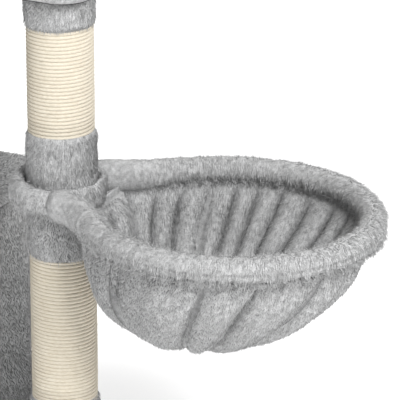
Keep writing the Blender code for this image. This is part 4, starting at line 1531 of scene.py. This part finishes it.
@dataclass
class Studio:
    """Camera, floor and soft light."""

    azimuth: float = 26.0
    elevation: float = 21.3
    distance: float = 4.25
    field: float = 6.41         # degrees
    aim_right: float = 0.164    # from the middle of the basket's plate to the picture's middle
    aim_up: float = -0.0155
    floor_size: float = 60.0
    lit: tuple[float, float, float] = (0.2, -0.1, 0.4)  # where the lamps look

    def build(self) -> None:
        """Sets up the studio."""
        self.camera()
        self.floor()
        self.lights()

    def camera(self) -> None:
        """The camera, looking down at the basket."""
        turn, rise = math.radians(self.azimuth), math.radians(self.elevation)
        right = Vector((math.cos(turn), math.sin(turn), 0))
        up = Vector((-math.sin(turn) * math.sin(rise), math.cos(turn) * math.sin(rise), math.cos(rise)))
        back = Vector((math.sin(turn) * math.cos(rise), -math.cos(turn) * math.cos(rise), math.sin(rise)))
        target = middle_of("basket_pivot_plate") + right * self.aim_right + up * self.aim_up
        lens = bpy.data.cameras.new("camera")
        lens.sensor_width = 36.0
        lens.lens = 18.0 / math.tan(math.radians(self.field) / 2)
        lens.clip_end = 200.0
        made = bpy.data.objects.new("camera", lens)
        made.location = target + back * self.distance
        made.rotation_euler = back.to_track_quat("Z", "Y").to_euler()
        bpy.context.scene.collection.objects.link(made)
        bpy.context.scene.camera = made

    def floor(self) -> None:
        """A wide, pale floor."""
        bm = bmesh.new()
        bmesh.ops.create_grid(bm, x_segments=4, y_segments=4, size=self.floor_size / 2)
        bmesh.ops.translate(bm, verts=bm.verts, vec=(0, 0, -0.0005))
        material, graph, shader = start_material("studio_floor")
        clouds = graph.noise(graph.place(), 2.0, 2.0).outputs["Fac"]
        colour = graph.mix(clouds, grey(0.94), grey(0.97))
        graph.tree.links.new(colour, shader.inputs["Base Color"])
        graph.tree.links.new(colour, shader.inputs["Emission Color"])
        shader.inputs["Emission Strength"].default_value = 0.30
        shader.inputs["Roughness"].default_value = 0.9
        to_object(bm, "studio_floor", material)

    def lights(self) -> None:
        """A soft key from the upper right, weak fills from the left and behind, and a bright room."""
        self.lamp("key", Vector((2.6, -2.1, 3.0)), 1.2, 165.0)
        self.lamp("fill", Vector((-2.8, -2.2, 1.6)), 2.4, 8.0)
        self.lamp("back", Vector((-0.8, 3.3, 2.4)), 2.0, 45.0)
        world = bpy.data.worlds.new("room")
        world.use_nodes = True
        graph = Graph(world.node_tree)
        backdrop = world.node_tree.nodes["Background"]
        backdrop.inputs["Color"].default_value = (1, 1, 1, 1)
        seen = graph.add("ShaderNodeLightPath").outputs["Is Camera Ray"]
        graph.tree.links.new(graph.span(seen, (0.0, 1.0), (0.52, 1.0)), backdrop.inputs["Strength"])
        bpy.context.scene.world = world
        bpy.context.scene.view_settings.view_transform = "Standard"

    def lamp(self, name: str, place: Vector, size: float, power: float) -> None:
        """One square soft light that looks at the middle of the tree."""
        light = bpy.data.lights.new(name, "AREA")
        light.size = size
        light.energy = power
        made = bpy.data.objects.new(name, light)
        made.location = place
        made.rotation_euler = (place - Vector(self.lit)).to_track_quat("Z", "Y").to_euler()
        bpy.context.scene.collection.objects.link(made)


def covered_boards() -> list[Covered]:
    """The plush-covered boards, from the floor up."""
    bed_pile = Pile(0.0026, 0.0062, 0.0013, lean=0.70, mess=0.30, jointed=False)
    base = Covered(name="base_cover", board="base_board", seed=1, hem=0.0)
    roof = Covered(name="condo_roof", board="condo_roof_board", corner=0.03, seed=2)
    platform = Covered(name="platform_cover", board="platform_board", corner=0.042, seed=3)
    bed = Covered(name="bed_cover", board="bed_board", corner=0.095, seed=4, pile=bed_pile)
    return [base, roof, platform, bed]


def posts() -> list[Post]:
    """The four post lengths."""
    names = ("front_post_lower", "front_post_upper", "roof_post", "bed_post")
    return [Post(name=name, seed=20 + 17 * number) for number, name in enumerate(names)]


def main() -> None:
    """Builds the studio and the whole tree."""
    logging.basicConfig(level=logging.INFO, format="%(message)s")
    Studio().build()
    for part in [Basket(), *posts(), *covered_boards(), Condo(), Bed(), Hardware()]:
        LOG.info("building %s", type(part).__name__)
        part.build()


if __name__ == "__main__":
    main()
